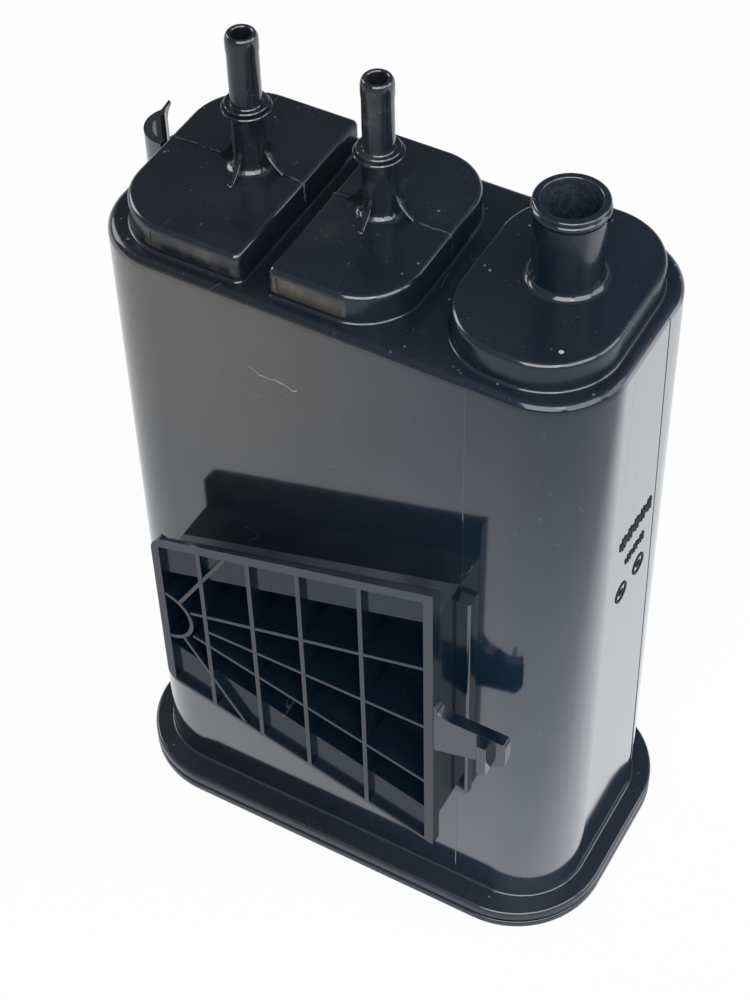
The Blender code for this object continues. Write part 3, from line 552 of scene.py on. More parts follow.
@dataclass(frozen=True)
class MouldedNylon(Finish):
    """Black moulded nylon with dust specks, wipe marks and a few hair scratches.

    The gloss is how much of the polished skin a surface shows, from 0 to 1.
    """

    gloss: float = 0.1
    gloss_drift: float = 0.02
    edge_gloss: float = 0.24
    ior: float = 1.42
    skin_ior: float = 3.0
    skin_roughness: float = 0.09
    dust: float = 1.0
    film: float = 0.018
    wipe_film: float = 0.012
    dust_colour: Colour = opaque(0.30, 0.31, 0.33)
    # painted reflection: a bluish tint, laid on more to the right
    cool_reflection_colour: Colour = opaque(0.006, 0.015, 0.028)
    cool_reflection_span: Pair = (-60 * MM, 70 * MM)
    specks: Specks = Specks(3.1 * MM, 0.17, 0.09, Patches(7 * MM, 0.54, 0.66))
    grit: Specks = Specks(1.0 * MM, 0.22, 0.12, Patches(5 * MM, 0.52, 0.72))
    hair_size: float = 16 * MM
    hair_half: float = 0.0010
    hair_patches: Patches = Patches(17 * MM, 0.60, 0.68)
    dust_clouds: Patches = Patches(30 * MM, 0.35, 0.75, 4.0)
    wave: float = 5 * MM
    grain_size: float = 0.5 * MM
    relief: float = 0.10 * MM

    def dirt(self, at: Surface, lying: Wire) -> Wire:
        """Scatter dust, more of it on lying faces.

        Args:
            at: The surface.
            lying: One where a face looks up.

        Returns:
            The cover of dust, from none to one.
        """
        loose = self.specks.mask(at) + self.grit.mask(at) * 0.42
        hair = abs(at.noise(self.hair_size, 2.0, (1, 5, 1)) - 0.5) < self.hair_half
        hairs = hair * self.hair_patches.mask(at) * 0.45
        return (loose * (0.12 + lying * 0.6) + hairs) * self.dust

    def tone(self, at: Surface) -> Wire:
        """Work out the plastic's colour before dust, bluer to the right: a painted reflection of
        the surroundings.

        Args:
            at: The surface.

        Returns:
            The colour.
        """
        # Painted reflection: a bluish tint that grows to the right, with random cloudy patches.
        clouds = Patches(26 * MM, 0.35, 0.75, 4.0)
        cool_reflection = at.x.ramp(*self.cool_reflection_span) * 0.65 + clouds.mask(at) * 0.25
        return at.blend(cool_reflection, self.base, self.cool_reflection_colour)

    def drift(self, at: Surface) -> Wire:
        """Return how the polish drifts over the surface."""
        return at.noise(22 * MM) * self.gloss_drift

    def skin(self, at: Surface) -> Wire:
        """Return the share of polished skin."""
        return self.drift(at) + self.gloss

    def grain(self, at: Surface) -> Operand:
        """Return the roughness before dust."""
        return self.roughness

    def open_air(self, at: Surface) -> Operand:
        """Return how far dust can settle, from 0 to 1."""
        return 1.0

    def edge(self, at: Surface) -> Operand:
        """Return the share of polished skin that a rounded edge adds."""
        return self.edge_gloss

    def sockets(self, at: Surface) -> dict[str, Any]:
        """Work out what the Principled shader gets.

        Args:
            at: The surface.

        Returns:
            Its values and wires by socket name.
        """
        upward = at.normal[2]
        lying = upward.ramp(0.6, 0.95) * self.open_air(at)
        rounded = upward.ramp(0.40, 0.55) * upward.fall(0.90, 0.98) * self.edge(at)
        wipe = at.noise(9 * MM, 5.0, (3.2, 1, 1))
        dirt = self.dirt(at, lying)
        film = lying * (0.3 + self.dust_clouds.mask(at) * 0.7) * self.film
        cover = (dirt + film + wipe.ramp(0.55, 0.80) * self.wipe_film).clamp()
        rough = wipe.ramp(0.45, 0.85) * 0.05 + dirt.clamp() * 0.4 + self.grain(at)
        height = at.noise(self.wave, 2.0) * 0.16 + at.noise(self.grain_size, 2.0) * 0.008
        return {
            "Base Color": at.blend(cover, self.tone(at), self.dust_colour),
            "Roughness": rough.clamp(),
            "IOR": self.ior,
            "Coat Weight": ((self.skin(at) + rounded) * (1.0 - dirt.clamp())).clamp(),
            "Coat Roughness": self.skin_roughness,
            "Coat IOR": self.skin_ior,
            "Normal": at.bump(height + dirt * 0.10, self.relief),
        }


@dataclass(frozen=True)
class BracketNylon(MouldedNylon):
    """The bracket's nylon: dark in the cells, dusty on the ledge of the neck."""

    front_line: float = -49.1 * MM
    strip_line: float = -38.0 * MM
    side_line: float = 38.6 * MM
    ledge: Pair = (126.5 * MM, 131.0 * MM)
    ledge_slope: float = 0.312
    web_span: Pair = (40 * MM, 120 * MM)
    arm_gloss: float = 0.13
    strip_gloss: float = 0.34
    side_gloss: float = 0.10

    def open_air(self, at: Surface) -> Operand:
        """Work out how far dust can settle, most on the ledge and none in the cells.

        Args:
            at: The surface.

        Returns:
            The share, from 0 to 1.
        """
        level = at.z - at.x * self.ledge_slope
        low, high = self.ledge
        return level.ramp(low, low + 1 * MM) * (1.0 - level.ramp(high, high + 2 * MM) * 0.8)

    def skin(self, at: Surface) -> Wire:
        """Work out the share of polished skin.

        Args:
            at: The surface.

        Returns:
            The share, from 0 to 1.
        """
        front = at.y < self.front_line
        beside = at.x > self.side_line
        ribs = front * (self.gloss - 0.02)
        arm = front * beside * self.arm_gloss
        strip = beside * (at.y > self.strip_line) * self.strip_gloss
        web = at.z.ramp(*self.web_span) * 0.02 + 0.01
        side = at.normal[0].ramp(0.7, 0.9) * self.side_gloss
        return self.drift(at) + web + ribs + arm + strip + side


Tint = tuple[Wire, Colour]


@dataclass(frozen=True)
class HousingNylon(MouldedNylon):
    """The housing's nylon: polished walls, duller top and ports, the marks of use, and painted
    reflections and highlights.
    """

    wall_top: float = 211.0 * MM
    flange_top: float = 7.6 * MM
    cover_top: float = 220.0 * MM
    port_foot: float = 222.5 * MM
    shoulder: Pair = (209 * MM, 212.3 * MM)
    top_grain: float = 0.20
    flange_grain: float = 0.22
    # brownish: a real stain on the top, and a painted reflection on the walls
    warm_stain_and_reflection_colour: Colour = opaque(0.036, 0.027, 0.018)
    # painted reflection tint for the lower right of the walls
    wall_cool_reflection_colour: Colour = opaque(0.008, 0.026, 0.046)
    film_colour: Colour = opaque(0.030, 0.038, 0.050)
    flange_film: float = 0.24
    haze_colour: Colour = opaque(0.105, 0.088, 0.064)
    haze_patches: Patches = Patches(9 * MM, 0.34, 0.66, 5.0)
    label_front: float = -28.9 * MM
    label_span: Pair = (213.9 * MM, 219.0 * MM)
    label_end: float = 4 * MM
    stain: Pair = (-12.0 * MM, -2.6 * MM)
    stain_radius: float = 13 * MM
    stain_patches: Patches = Patches(9 * MM, 0.40, 0.70, 5.0, (1, 2, 1))
    ridge_y: float = 1.8 * MM
    ridge_half: float = 0.26 * MM
    ridge_drift: float = 2.2 * MM
    ridge_span: Pair = (213.5 * MM, 221.2 * MM)
    ridge_end: float = 20 * MM
    ridge_patches: Patches = Patches(3 * MM, 0.38, 0.60)
    # painted highlight along the parting ridges
    ridge_highlight_colour: Colour = opaque(0.11, 0.13, 0.15)
    port_feet: tuple[Pair, ...] = ((-40.75 * MM, 1.8 * MM), (-3.85 * MM, 1.8 * MM))
    smear_radius: float = 17 * MM
    smear_patches: Patches = Patches(6 * MM, 0.56, 0.74, 6.0, (1, 3, 1))
    smear_colour: Colour = opaque(0.055, 0.065, 0.075)
    scratch: Pair = (-15.0 * MM, 188.4 * MM)
    scratch_reach: float = 7 * MM
    scratch_half: float = 0.15 * MM
    scratch_bend: float = 5.0 * MM
    scratch_colour: Colour = opaque(0.32, 0.32, 0.33)
    air_axis: Pair = (46.7 * MM, 1.8 * MM)
    air_bore: float = 7.5 * MM
    bore_foot: float = 214 * MM
    lint_patches: Patches = Patches(1.4 * MM, 0.35, 0.75, 4.0)
    port_film: Colour = opaque(0.045, 0.060, 0.080)
    gate_mark: Pair = (56.8 * MM, -22.1 * MM)
    gate_radius: float = 0.75 * MM
    gate_colour: Colour = opaque(0.55, 0.58, 0.60)
    seam_x: float = 38.5 * MM
    seam_half: float = 0.17 * MM
    seam_front: float = -33 * MM
    end_seam_y: Pair = (9.6 * MM, 18.4 * MM)
    end_seam_half: float = 0.40 * MM
    end_seam_x: float = 69 * MM

    def on_wall(self, at: Surface) -> Wire:
        """Return one on the walls."""
        return at.z.inside(self.flange_top, self.wall_top)

    def edge(self, at: Surface) -> Operand:
        """Return the share of polished skin that a rounded edge adds, less on the shoulder."""
        return (1.0 - at.z.inside(*self.shoulder) * 0.5) * self.edge_gloss

    def grain(self, at: Surface) -> Operand:
        """Return the roughness before dust, higher on the top and the flange."""
        flange = (at.z < self.flange_top) * self.flange_grain
        return (at.z > self.wall_top) * (self.top_grain - self.roughness) + flange + self.roughness

    def wall_tints(self, at: Surface) -> list[Tint]:
        """Tint the walls with painted reflections, brownish at the upper left and bluish at the
        lower right, and scratch them.

        Args:
            at: The surface.

        Returns:
            The tints, each a mask and a colour.
        """
        cloud = at.noise(34 * MM, 4.0)
        # Painted reflection: a brownish tint on the upper left of the walls.
        left = (0.03 - at.x).ramp(-10 * MM, 70 * MM)
        warm_reflection = at.z.ramp(120 * MM, 205 * MM) * left * (0.55 + cloud)
        # Painted reflection: a bluish tint on the lower right of the walls.
        cool_wall_reflection = at.x.ramp(-30 * MM, 60 * MM) * at.z.fall(100 * MM, 190 * MM) * (0.3 + cloud * 0.4)
        bend = (at.noise(5 * MM, 2.0) - 0.5) * self.scratch_bend
        across = at.x - self.scratch[0]
        line = abs(at.z - self.scratch[1] + across * 0.12 + bend) < self.scratch_half
        scratch = line * (abs(across) < self.scratch_reach) * (at.y < -30 * MM)
        return [((warm_reflection * self.on_wall(at)).clamp() * 0.75, self.warm_stain_and_reflection_colour),
                ((cool_wall_reflection * self.on_wall(at)).clamp(), self.wall_cool_reflection_colour),
                ((at.z < self.flange_top) * self.flange_film, self.film_colour),
                (scratch * 0.6, self.scratch_colour)]

    def cover_tints(self, at: Surface) -> list[Tint]:
        """Tint the covers: haze on the front panels, a brownish stain and a painted highlight along
        the parting ridges.

        Args:
            at: The surface.

        Returns:
            The tints, each a mask and a colour.
        """
        label = (at.y < self.label_front) * at.z.inside(*self.label_span) * (at.x < self.label_end)
        stain = self.stain_patches.mask(at) * at.spot(self.stain, self.stain_radius)
        # Painted highlight: a light wavering line along the parting ridges, broken into patches.
        drift = (at.noise(4.5 * MM, 2.0) - 0.5) * self.ridge_drift
        ridge = (abs(at.y - self.ridge_y - drift) < self.ridge_half) * (at.x < self.ridge_end)
        ridge_highlight = ridge * at.z.inside(*self.ridge_span) * self.ridge_patches.mask(at)
        return [(label * self.haze_patches.mask(at) * 0.62, self.haze_colour),
                (stain * (at.z > self.wall_top) * 0.75, self.warm_stain_and_reflection_colour),
                (ridge_highlight * 0.75, self.ridge_highlight_colour)]

    def port_tints(self, at: Surface) -> list[Tint]:
        """Tint the ports: smears round their feet, lint in the wide bore and the gate mark.

        Args:
            at: The surface.

        Returns:
            The tints, each a mask and a colour.
        """
        first, second = (at.spot(foot, self.smear_radius) for foot in self.port_feet)
        smear = (first + second) * (at.z > 220.3 * MM) * self.smear_patches.mask(at)
        bore = (at.spot(self.air_axis, self.air_bore) > 0.0) * (at.z > self.bore_foot)
        dot = at.spot(self.gate_mark, self.gate_radius).ramp(0.1, 0.5) * (at.z > self.cover_top)
        return [((smear * 0.55).clamp(), self.smear_colour),
                (bore * (0.35 + self.lint_patches.mask(at) * 0.6), self.port_film),
                (dot * 0.8, self.gate_colour)]

    def tone(self, at: Surface) -> Wire:
        """Work out the plastic's colour before dust.

        Args:
            at: The surface.

        Returns:
            The colour.
        """
        colour = super().tone(at)
        for mask, tint in self.wall_tints(at) + self.cover_tints(at) + self.port_tints(at):
            colour = at.blend(mask, colour, tint)
        return colour

    def skin(self, at: Surface) -> Wire:
        """Work out the share of polished skin: full on the round ends, less on the front.

        Args:
            at: The surface.

        Returns:
            The share, from 0 to 1.
        """
        side, depth, _ = at.normal
        reach = 1.15 - at.z / 0.235
        ends = ((reach - abs(depth)) / reach).ramp(0.0, 1.0)
        streak = at.noise(2.4 * MM, 3.0, (1, 1, 30))
        right = at.x.ramp(0, 55 * MM)
        low_left = (1.0 - right) * at.z.fall(35 * MM, 100 * MM) * 0.17
        low = right * (1.0 - at.z / 0.2) * 0.42 + low_left
        seam = (abs(at.x - self.seam_x) < self.seam_half) * (at.y < self.seam_front) * 0.11
        front = self.gloss + at.noise(30 * MM, 4.0) * 0.10 - at.x * 1.7 + low + seam
        top_y, foot_y = self.end_seam_y
        line = at.y - top_y - (self.wall_top - at.z) * ((foot_y - top_y) / self.wall_top)
        end_seam = (abs(line) < self.end_seam_half) * (at.x > self.end_seam_x)
        wall = front * (1.0 - ends) + ends * (0.85 + streak * 0.3) * (1.0 - end_seam * 0.65)
        glint = (0.0 - side).ramp(0.2, 0.8) * streak * 0.05 + side.ramp(0.70, 0.90) * 0.22
        return wall * self.on_wall(at) + (at.z > self.port_foot) * glint


Pattern = tuple[Wire, Wire, Wire]


@dataclass(frozen=True)
class TwoTone(Finish):
    """A finish whose pattern blends two tones, roughens the surface and gives it a relief."""

    shade: Colour
    size: float
    relief: float
    metallic: float = 0.0

    def pattern(self, at: Surface) -> Pattern:
        """Return the share of the shade, what the roughness gains, and the relief."""
        raise NotImplementedError

    def sockets(self, at: Surface) -> dict[str, Any]:
        """Work out what the Principled shader gets.

        Args:
            at: The surface.

        Returns:
            Its values and wires by socket name.
        """
        share, extra, height = self.pattern(at)
        return {
            "Base Color": at.blend(share, self.base, self.shade),
            "Metallic": self.metallic,
            "Roughness": self.roughness + extra,
            "Normal": at.bump(height, self.relief),
        }


@dataclass(frozen=True)
class PrintInk(TwoTone):
    """Dull raised print, worn in places."""

    def pattern(self, at: Surface) -> Pattern:
        """Return the share of the shade, what the roughness gains, and the relief."""
        wear = at.noise(self.size).ramp(0.45, 0.7)
        return wear * 0.4, wear * 0.2, at.noise(0.3 * MM)


@dataclass(frozen=True)
class Granules(TwoTone):
    """Packed carbon granules, with a shade where they touch."""

    def pattern(self, at: Surface) -> Pattern:
        """Return the share of the shade, what the roughness gains, and the relief."""
        cell = at.cells(self.size)
        return cell.fall(0.2, 0.8), at.noise(self.size).ramp(0.5, 0.7) * -0.25, 1.0 - cell


@dataclass(frozen=True)
class FibrePad(TwoTone):
    """Felt or open foam, with fibres or pores of a size."""

    def pattern(self, at: Surface) -> Pattern:
        """Return the share of the shade, what the roughness gains, and the relief."""
        fibre = (at.noise(self.size, 5.0, (3, 1, 1)) + at.noise(self.size, 5.0, (1, 3, 1))) * 0.5
        return fibre.fall(0.35, 0.65), fibre * 0.05, fibre


@dataclass(frozen=True)
class NaturalNylon(TwoTone):
    """Pale uncoloured nylon with a faint moulded grain."""

    def pattern(self, at: Surface) -> Pattern:
        """Return the share of the shade, what the roughness gains, and the relief."""
        grain = at.noise(self.size, 2.0)
        return at.noise(12 * MM, 4.0).ramp(0.3, 0.7), grain * 0.08, grain


@dataclass(frozen=True)
class DrawnWire(TwoTone):
    """Spring steel with the streaks of its drawing."""

    def pattern(self, at: Surface) -> Pattern:
        """Return the share of the shade, what the roughness gains, and the relief."""
        streak = at.noise(self.size, 4.0, (6, 6, 1))
        return streak.ramp(0.3, 0.7), streak * 0.15, streak


@dataclass
class PlenumCover:
    """One raised cover on the roof."""

    name: str
    x_low: float
    x_high: float
    radius_low: float
    radius_high: float
    half_depth: float = 29.7 * MM
    foot: float = 212.1 * MM
    top: float = 220.7 * MM
    edge_round: float = 1.5 * MM
    wall: float = 2.5 * MM
    panel: Optional[Pair] = None
    panel_sink: float = 0.5 * MM
    panel_margin: float = 1.9 * MM
    ridge: Optional[Pair] = None
    ridge_y: float = 1.8 * MM
    ridge_half: float = 0.24 * MM
    ridge_proud: float = 0.24 * MM

    def form(self, name: str, wall: float, low: float, segments: int) -> Workpiece:
        """Model a block with the cover's rounded corners.

        Args:
            name: The object's name.
            wall: How far its sides and its top lie inside the cover's.
            low: The height of its foot.
            segments: How many segments a corner has.

        Returns:
            The workpiece.
        """
        piece = Workpiece.block(name, (self.x_low + wall, wall - self.half_depth, low),
                                (self.x_high - wall, self.half_depth - wall, self.top - wall))
        middle = (self.x_low + self.x_high) / 2
        for at_left, radius in ((True, self.radius_low), (False, self.radius_high)):
            if radius > wall:
                piece.round_edges(
                    lambda m, d, left=at_left: upright(m, d) and (m.x < middle) == left,
                    radius - wall, segments)
        return piece

    def build(self) -> Workpiece:
        """Model the cover as a block with rounded corners and a rounded upper edge.

        Returns:
            The workpiece.
        """
        piece = self.form(self.name, 0.0, self.foot - BITE, 20)
        piece.round_edges(lambda m, d: m.z > self.top - NEAR, self.edge_round, 6)
        return piece

    def hollow(self) -> Workpiece:
        """Model the space under the cover."""
        return self.form(self.name + "_hollow", self.wall, self.foot - 2 * self.wall, 8)

    def label_panel(self) -> Workpiece:
        """Model the cutter of the plain shallow panel in the front wall.

        Returns:
            The cutter.
        """
        low, high = self.panel
        front = -self.half_depth
        piece = Workpiece.block(
            self.name + "_panel", (low, front - BITE, self.foot + self.panel_margin),
            (high, front + self.panel_sink, self.top - self.panel_margin))
        piece.round_edges(front_to_back, 0.5 * MM, 3)
        return piece

    def parting_ridge(self) -> Workpiece:
        """Model the thin ridge that the mould's halves left over the top and down the sides.

        Returns:
            The workpiece.
        """
        low, high = self.ridge
        piece = Workpiece.block(
            self.name + "_ridge", (low, self.ridge_y - self.ridge_half, self.foot - BITE),
            (high, self.ridge_y + self.ridge_half, self.top + self.ridge_proud))
        piece.round_edges(
            lambda m, d: front_to_back(m, d) and m.z > self.foot, self.edge_round, 6)
        piece.soften(0.09 * MM)
        return piece


def oval(middle: Pair, wide: float, high: float, span: Pair, steps: int) -> list[Pair]:
    """Trace part of an oval for a profile.

    Args:
        middle: Its middle, as radius and height.
        wide: Its half width.
        high: Its half height.
        span: Its first and last angle in degrees.
        steps: How many steps it takes.

    Returns:
        The points, first and last included.
    """
    angles = [math.radians(mix(*span, step / steps)) for step in range(steps + 1)]
    return [(middle[0] + wide * math.cos(a), middle[1] + high * math.sin(a)) for a in angles]


def arc(middle: Pair, radius: float, span: Pair, steps: int) -> list[Pair]:
    """Trace part of a circle for a profile, as oval does."""
    return oval(middle, radius, radius, span, steps)


@dataclass
class Port:
    """A port on a cover: its place, and the fillet round its foot."""

    name: str
    x: float
    tip: float
    y: float = 1.8 * MM
    base: float = 220.7 * MM
    foot: float = 7.0 * MM
    skirt: float = 0.1 * MM
    skirt_drop: float = 0.06 * MM

    def foot_profile(self, stem: float) -> list[Pair]:
        """Trace the profile from under the cover up the fillet to the stem.

        Args:
            stem: The radius on which the fillet ends.

        Returns:
            The points.
        """
        edge, fillet = self.foot + self.skirt, self.foot - stem
        start = [(edge, self.base - BITE), (edge, self.base - self.skirt_drop)]
        return start + arc((self.foot, self.base + fillet), fillet, (-90, -180), 6)

    def build(self) -> Workpiece:
        """Model the port."""
        raise NotImplementedError

    def extras(self) -> list[Workpiece]:
        """Model what stands beside the port."""
        return []


@dataclass
class HosePort(Port):
    """A thin port with a double collar and four gussets."""

    stem: float = 4.0 * MM
    bead: float = 4.15 * MM
    bead_foot: float = 5.6 * MM
    bead_neck: float = 4.4 * MM
    # the bracket's painted reflection tint, bluer to the right
    bore: float = 2.45 * MM
    bore_depth: float = 30 * MM
    neck: float = 4.3 * MM
    collar: float = 19.6 * MM
    small: float = 5.6 * MM
    large: float = 6.35 * MM
    disc: float = 0.8 * MM
    gap: float = 0.35 * MM
    gusset_height: float = 8.9 * MM
    gusset_reach: float = 9.7 * MM
    gusset_thick: float = 1.1 * MM
    gusset_steps: int = 9
    gusset_curve: float = 2.4
    gusset_sink: float = 0.5 * MM
    crown: float = 2.1 * MM
    dish: float = 0.9 * MM
    lip_share: float = 0.42

    def collar_disc(self, radius: float, low: float) -> list[Pair]:
        """Trace the rim of one disc of the collar.

        Args:
            radius: The disc's radius.
            low: The height of its underside.

        Returns:
            The points.
        """
        soft, high = self.disc / 4, low + self.disc
        return [(radius - soft, low), (radius, low + soft), (radius, high - soft),
                (radius - soft, high)]

    def build(self) -> Workpiece:
        """Model the port as one turned piece.

        Returns:
            The workpiece.
        """
        top, groove = self.tip, self.neck + self.gap
        low = self.base + self.collar - 2 * self.disc - self.gap
        profile = self.foot_profile(self.neck) + [(self.neck, low)]
        profile += self.collar_disc(self.large, low) + [(groove, low + self.disc)]
        low += self.disc + self.gap
        profile += [(groove, low)] + self.collar_disc(self.small, low)
        soft, high = self.disc / 4, low + self.disc
        profile += [(self.stem + soft, high), (self.stem, high + soft),
                    (self.stem, top - self.bead_foot), (self.bead, top - self.bead_neck),
                    (self.bead, top - self.crown)]
        lip = mix(self.bore, self.bead, self.lip_share)
        profile += oval((lip, top - self.crown), self.bead - lip, self.crown, (0, 90), 10)[1:]
        profile += oval((lip, top - self.dish), lip - self.bore, self.dish, (90, 180), 6)[1:]
        profile += [(self.bore, top - self.bore_depth)]
        return Workpiece.turned(self.name, (self.x, self.y), profile, 64)

    def gusset(self, along_x: bool) -> Workpiece:
        """Model two of the gussets as one hollow curved plate through the neck.

        Args:
            along_x: Whether it runs along X or along Y.

        Returns:
            The workpiece.
        """
        half = self.gusset_thick / 2
        low, high = self.base - self.gusset_sink, self.base + self.gusset_height
        reach_x, reach_y = (self.gusset_reach, half) if along_x else (half, self.gusset_reach)
        piece = Workpiece.block(
            self.name + "_gusset", (self.x - reach_x, self.y - reach_y, low),
            (self.x + reach_x, self.y + reach_y, high))
        with piece.editing(Part.EDGE):
            piece.pick(Part.EDGE, upright)
            bpy.ops.mesh.subdivide(number_cuts=self.gusset_steps - 1)
        for step in range(1, self.gusset_steps + 1):
            level = mix(low, high, step / self.gusset_steps)
            left = 1 - max(0.0, (level - self.base) / self.gusset_height)
            reach = mix(self.neck, self.gusset_reach, left ** self.gusset_curve)
            share = reach / self.gusset_reach
            piece.scale(lambda m, n: abs(m.z - level) < MERGE,
                        (share, 1, 1) if along_x else (1, share, 1), (self.x, self.y, level))
        piece.soften(0.2 * MM)
        return piece

    def gate_mark(self) -> Workpiece:
        """Model the small round mark at the foot of the front gusset.

        Returns:
            The workpiece.
        """
        place = (self.x, self.y - self.gusset_reach - 0.25 * MM)
        dome = ((0.85, -0.5), (0.85, 0.25), (0.72, 0.55), (0.45, 0.72), (0.12, 0.78))
        profile = [(radius * MM, self.base + height * MM) for radius, height in dome]
        return Workpiece.turned(self.name + "_mark", place, profile, 24)

    def extras(self) -> list[Workpiece]:
        """Model the gussets and the gate mark."""
        return [self.gusset(True), self.gusset(False), self.gate_mark()]


@dataclass
class AirPort(Port):
    """The wide port with a rolled bead round its mouth."""

    stem: float = 8.7 * MM
    bead: float = 9.5 * MM
    bead_round: float = 0.9 * MM
    rim_round: float = 0.7 * MM
    bore: float = 7.25 * MM
    bore_round: float = 0.45 * MM
    bore_depth: float = 26.5 * MM
    foot: float = 11.2 * MM

    def build(self) -> Workpiece:
        """Model the port as one turned piece, then its nick and its flake of flash.

        Returns:
            The workpiece.
        """
        top, mouth = self.tip, self.bore + self.bore_round
        profile = self.foot_profile(self.stem)
        profile += [(self.stem, top - 3.9 * MM), ((self.stem + self.bead) / 2, top - 3.5 * MM)]
        profile += arc((self.bead - self.bead_round, top - 2.3 * MM), self.bead_round, (-50, 60), 8)
        profile += [(self.bead - 0.85 * MM, top - 1.25 * MM)]
        profile += arc((self.stem - 0.15 * MM, top - self.rim_round), self.rim_round, (0, 90), 6)
        profile += [(mouth, top)]
        profile += arc((mouth, top - self.bore_round), self.bore_round, (90, 180), 4)[1:]
        profile += [(self.bore, top - self.bore_depth)]
        piece = Workpiece.turned(self.name, (self.x, self.y), profile, 96)
        piece.combine(Cut.REMOVE, self.nick())
        piece.combine(Cut.JOIN, self.flash_tab())
        return piece

    def nick(self) -> Workpiece:
        """Model the cutter of the small nick in the rim.

        Returns:
            The cutter.
        """
        x, y = self.x - 0.88 * self.stem, self.y - 0.50 * self.stem
        piece = Workpiece.block(
            "nick", (x - 0.9 * MM, y - 0.5 * MM, self.tip - 0.55 * MM),
            (x + 0.9 * MM, y + 0.5 * MM, self.tip + BITE), (0, 0, math.radians(20)))
        piece.round_edges(lambda m, d: m.z < self.tip, 0.25 * MM, 2)
        return piece

    def flash_tab(self) -> Workpiece:
        """Model the thin flake of flash on the bead's right side.

        Returns:
            The workpiece.
        """
        x = self.x + self.bead
        return Workpiece.block(
            "flash_tab", (x - 0.7 * MM, self.y - 0.2 * MM, self.tip - 3.4 * MM),
            (x + 0.75 * MM, self.y + 0.9 * MM, self.tip - 3.1 * MM), (0, math.radians(-24), 0))


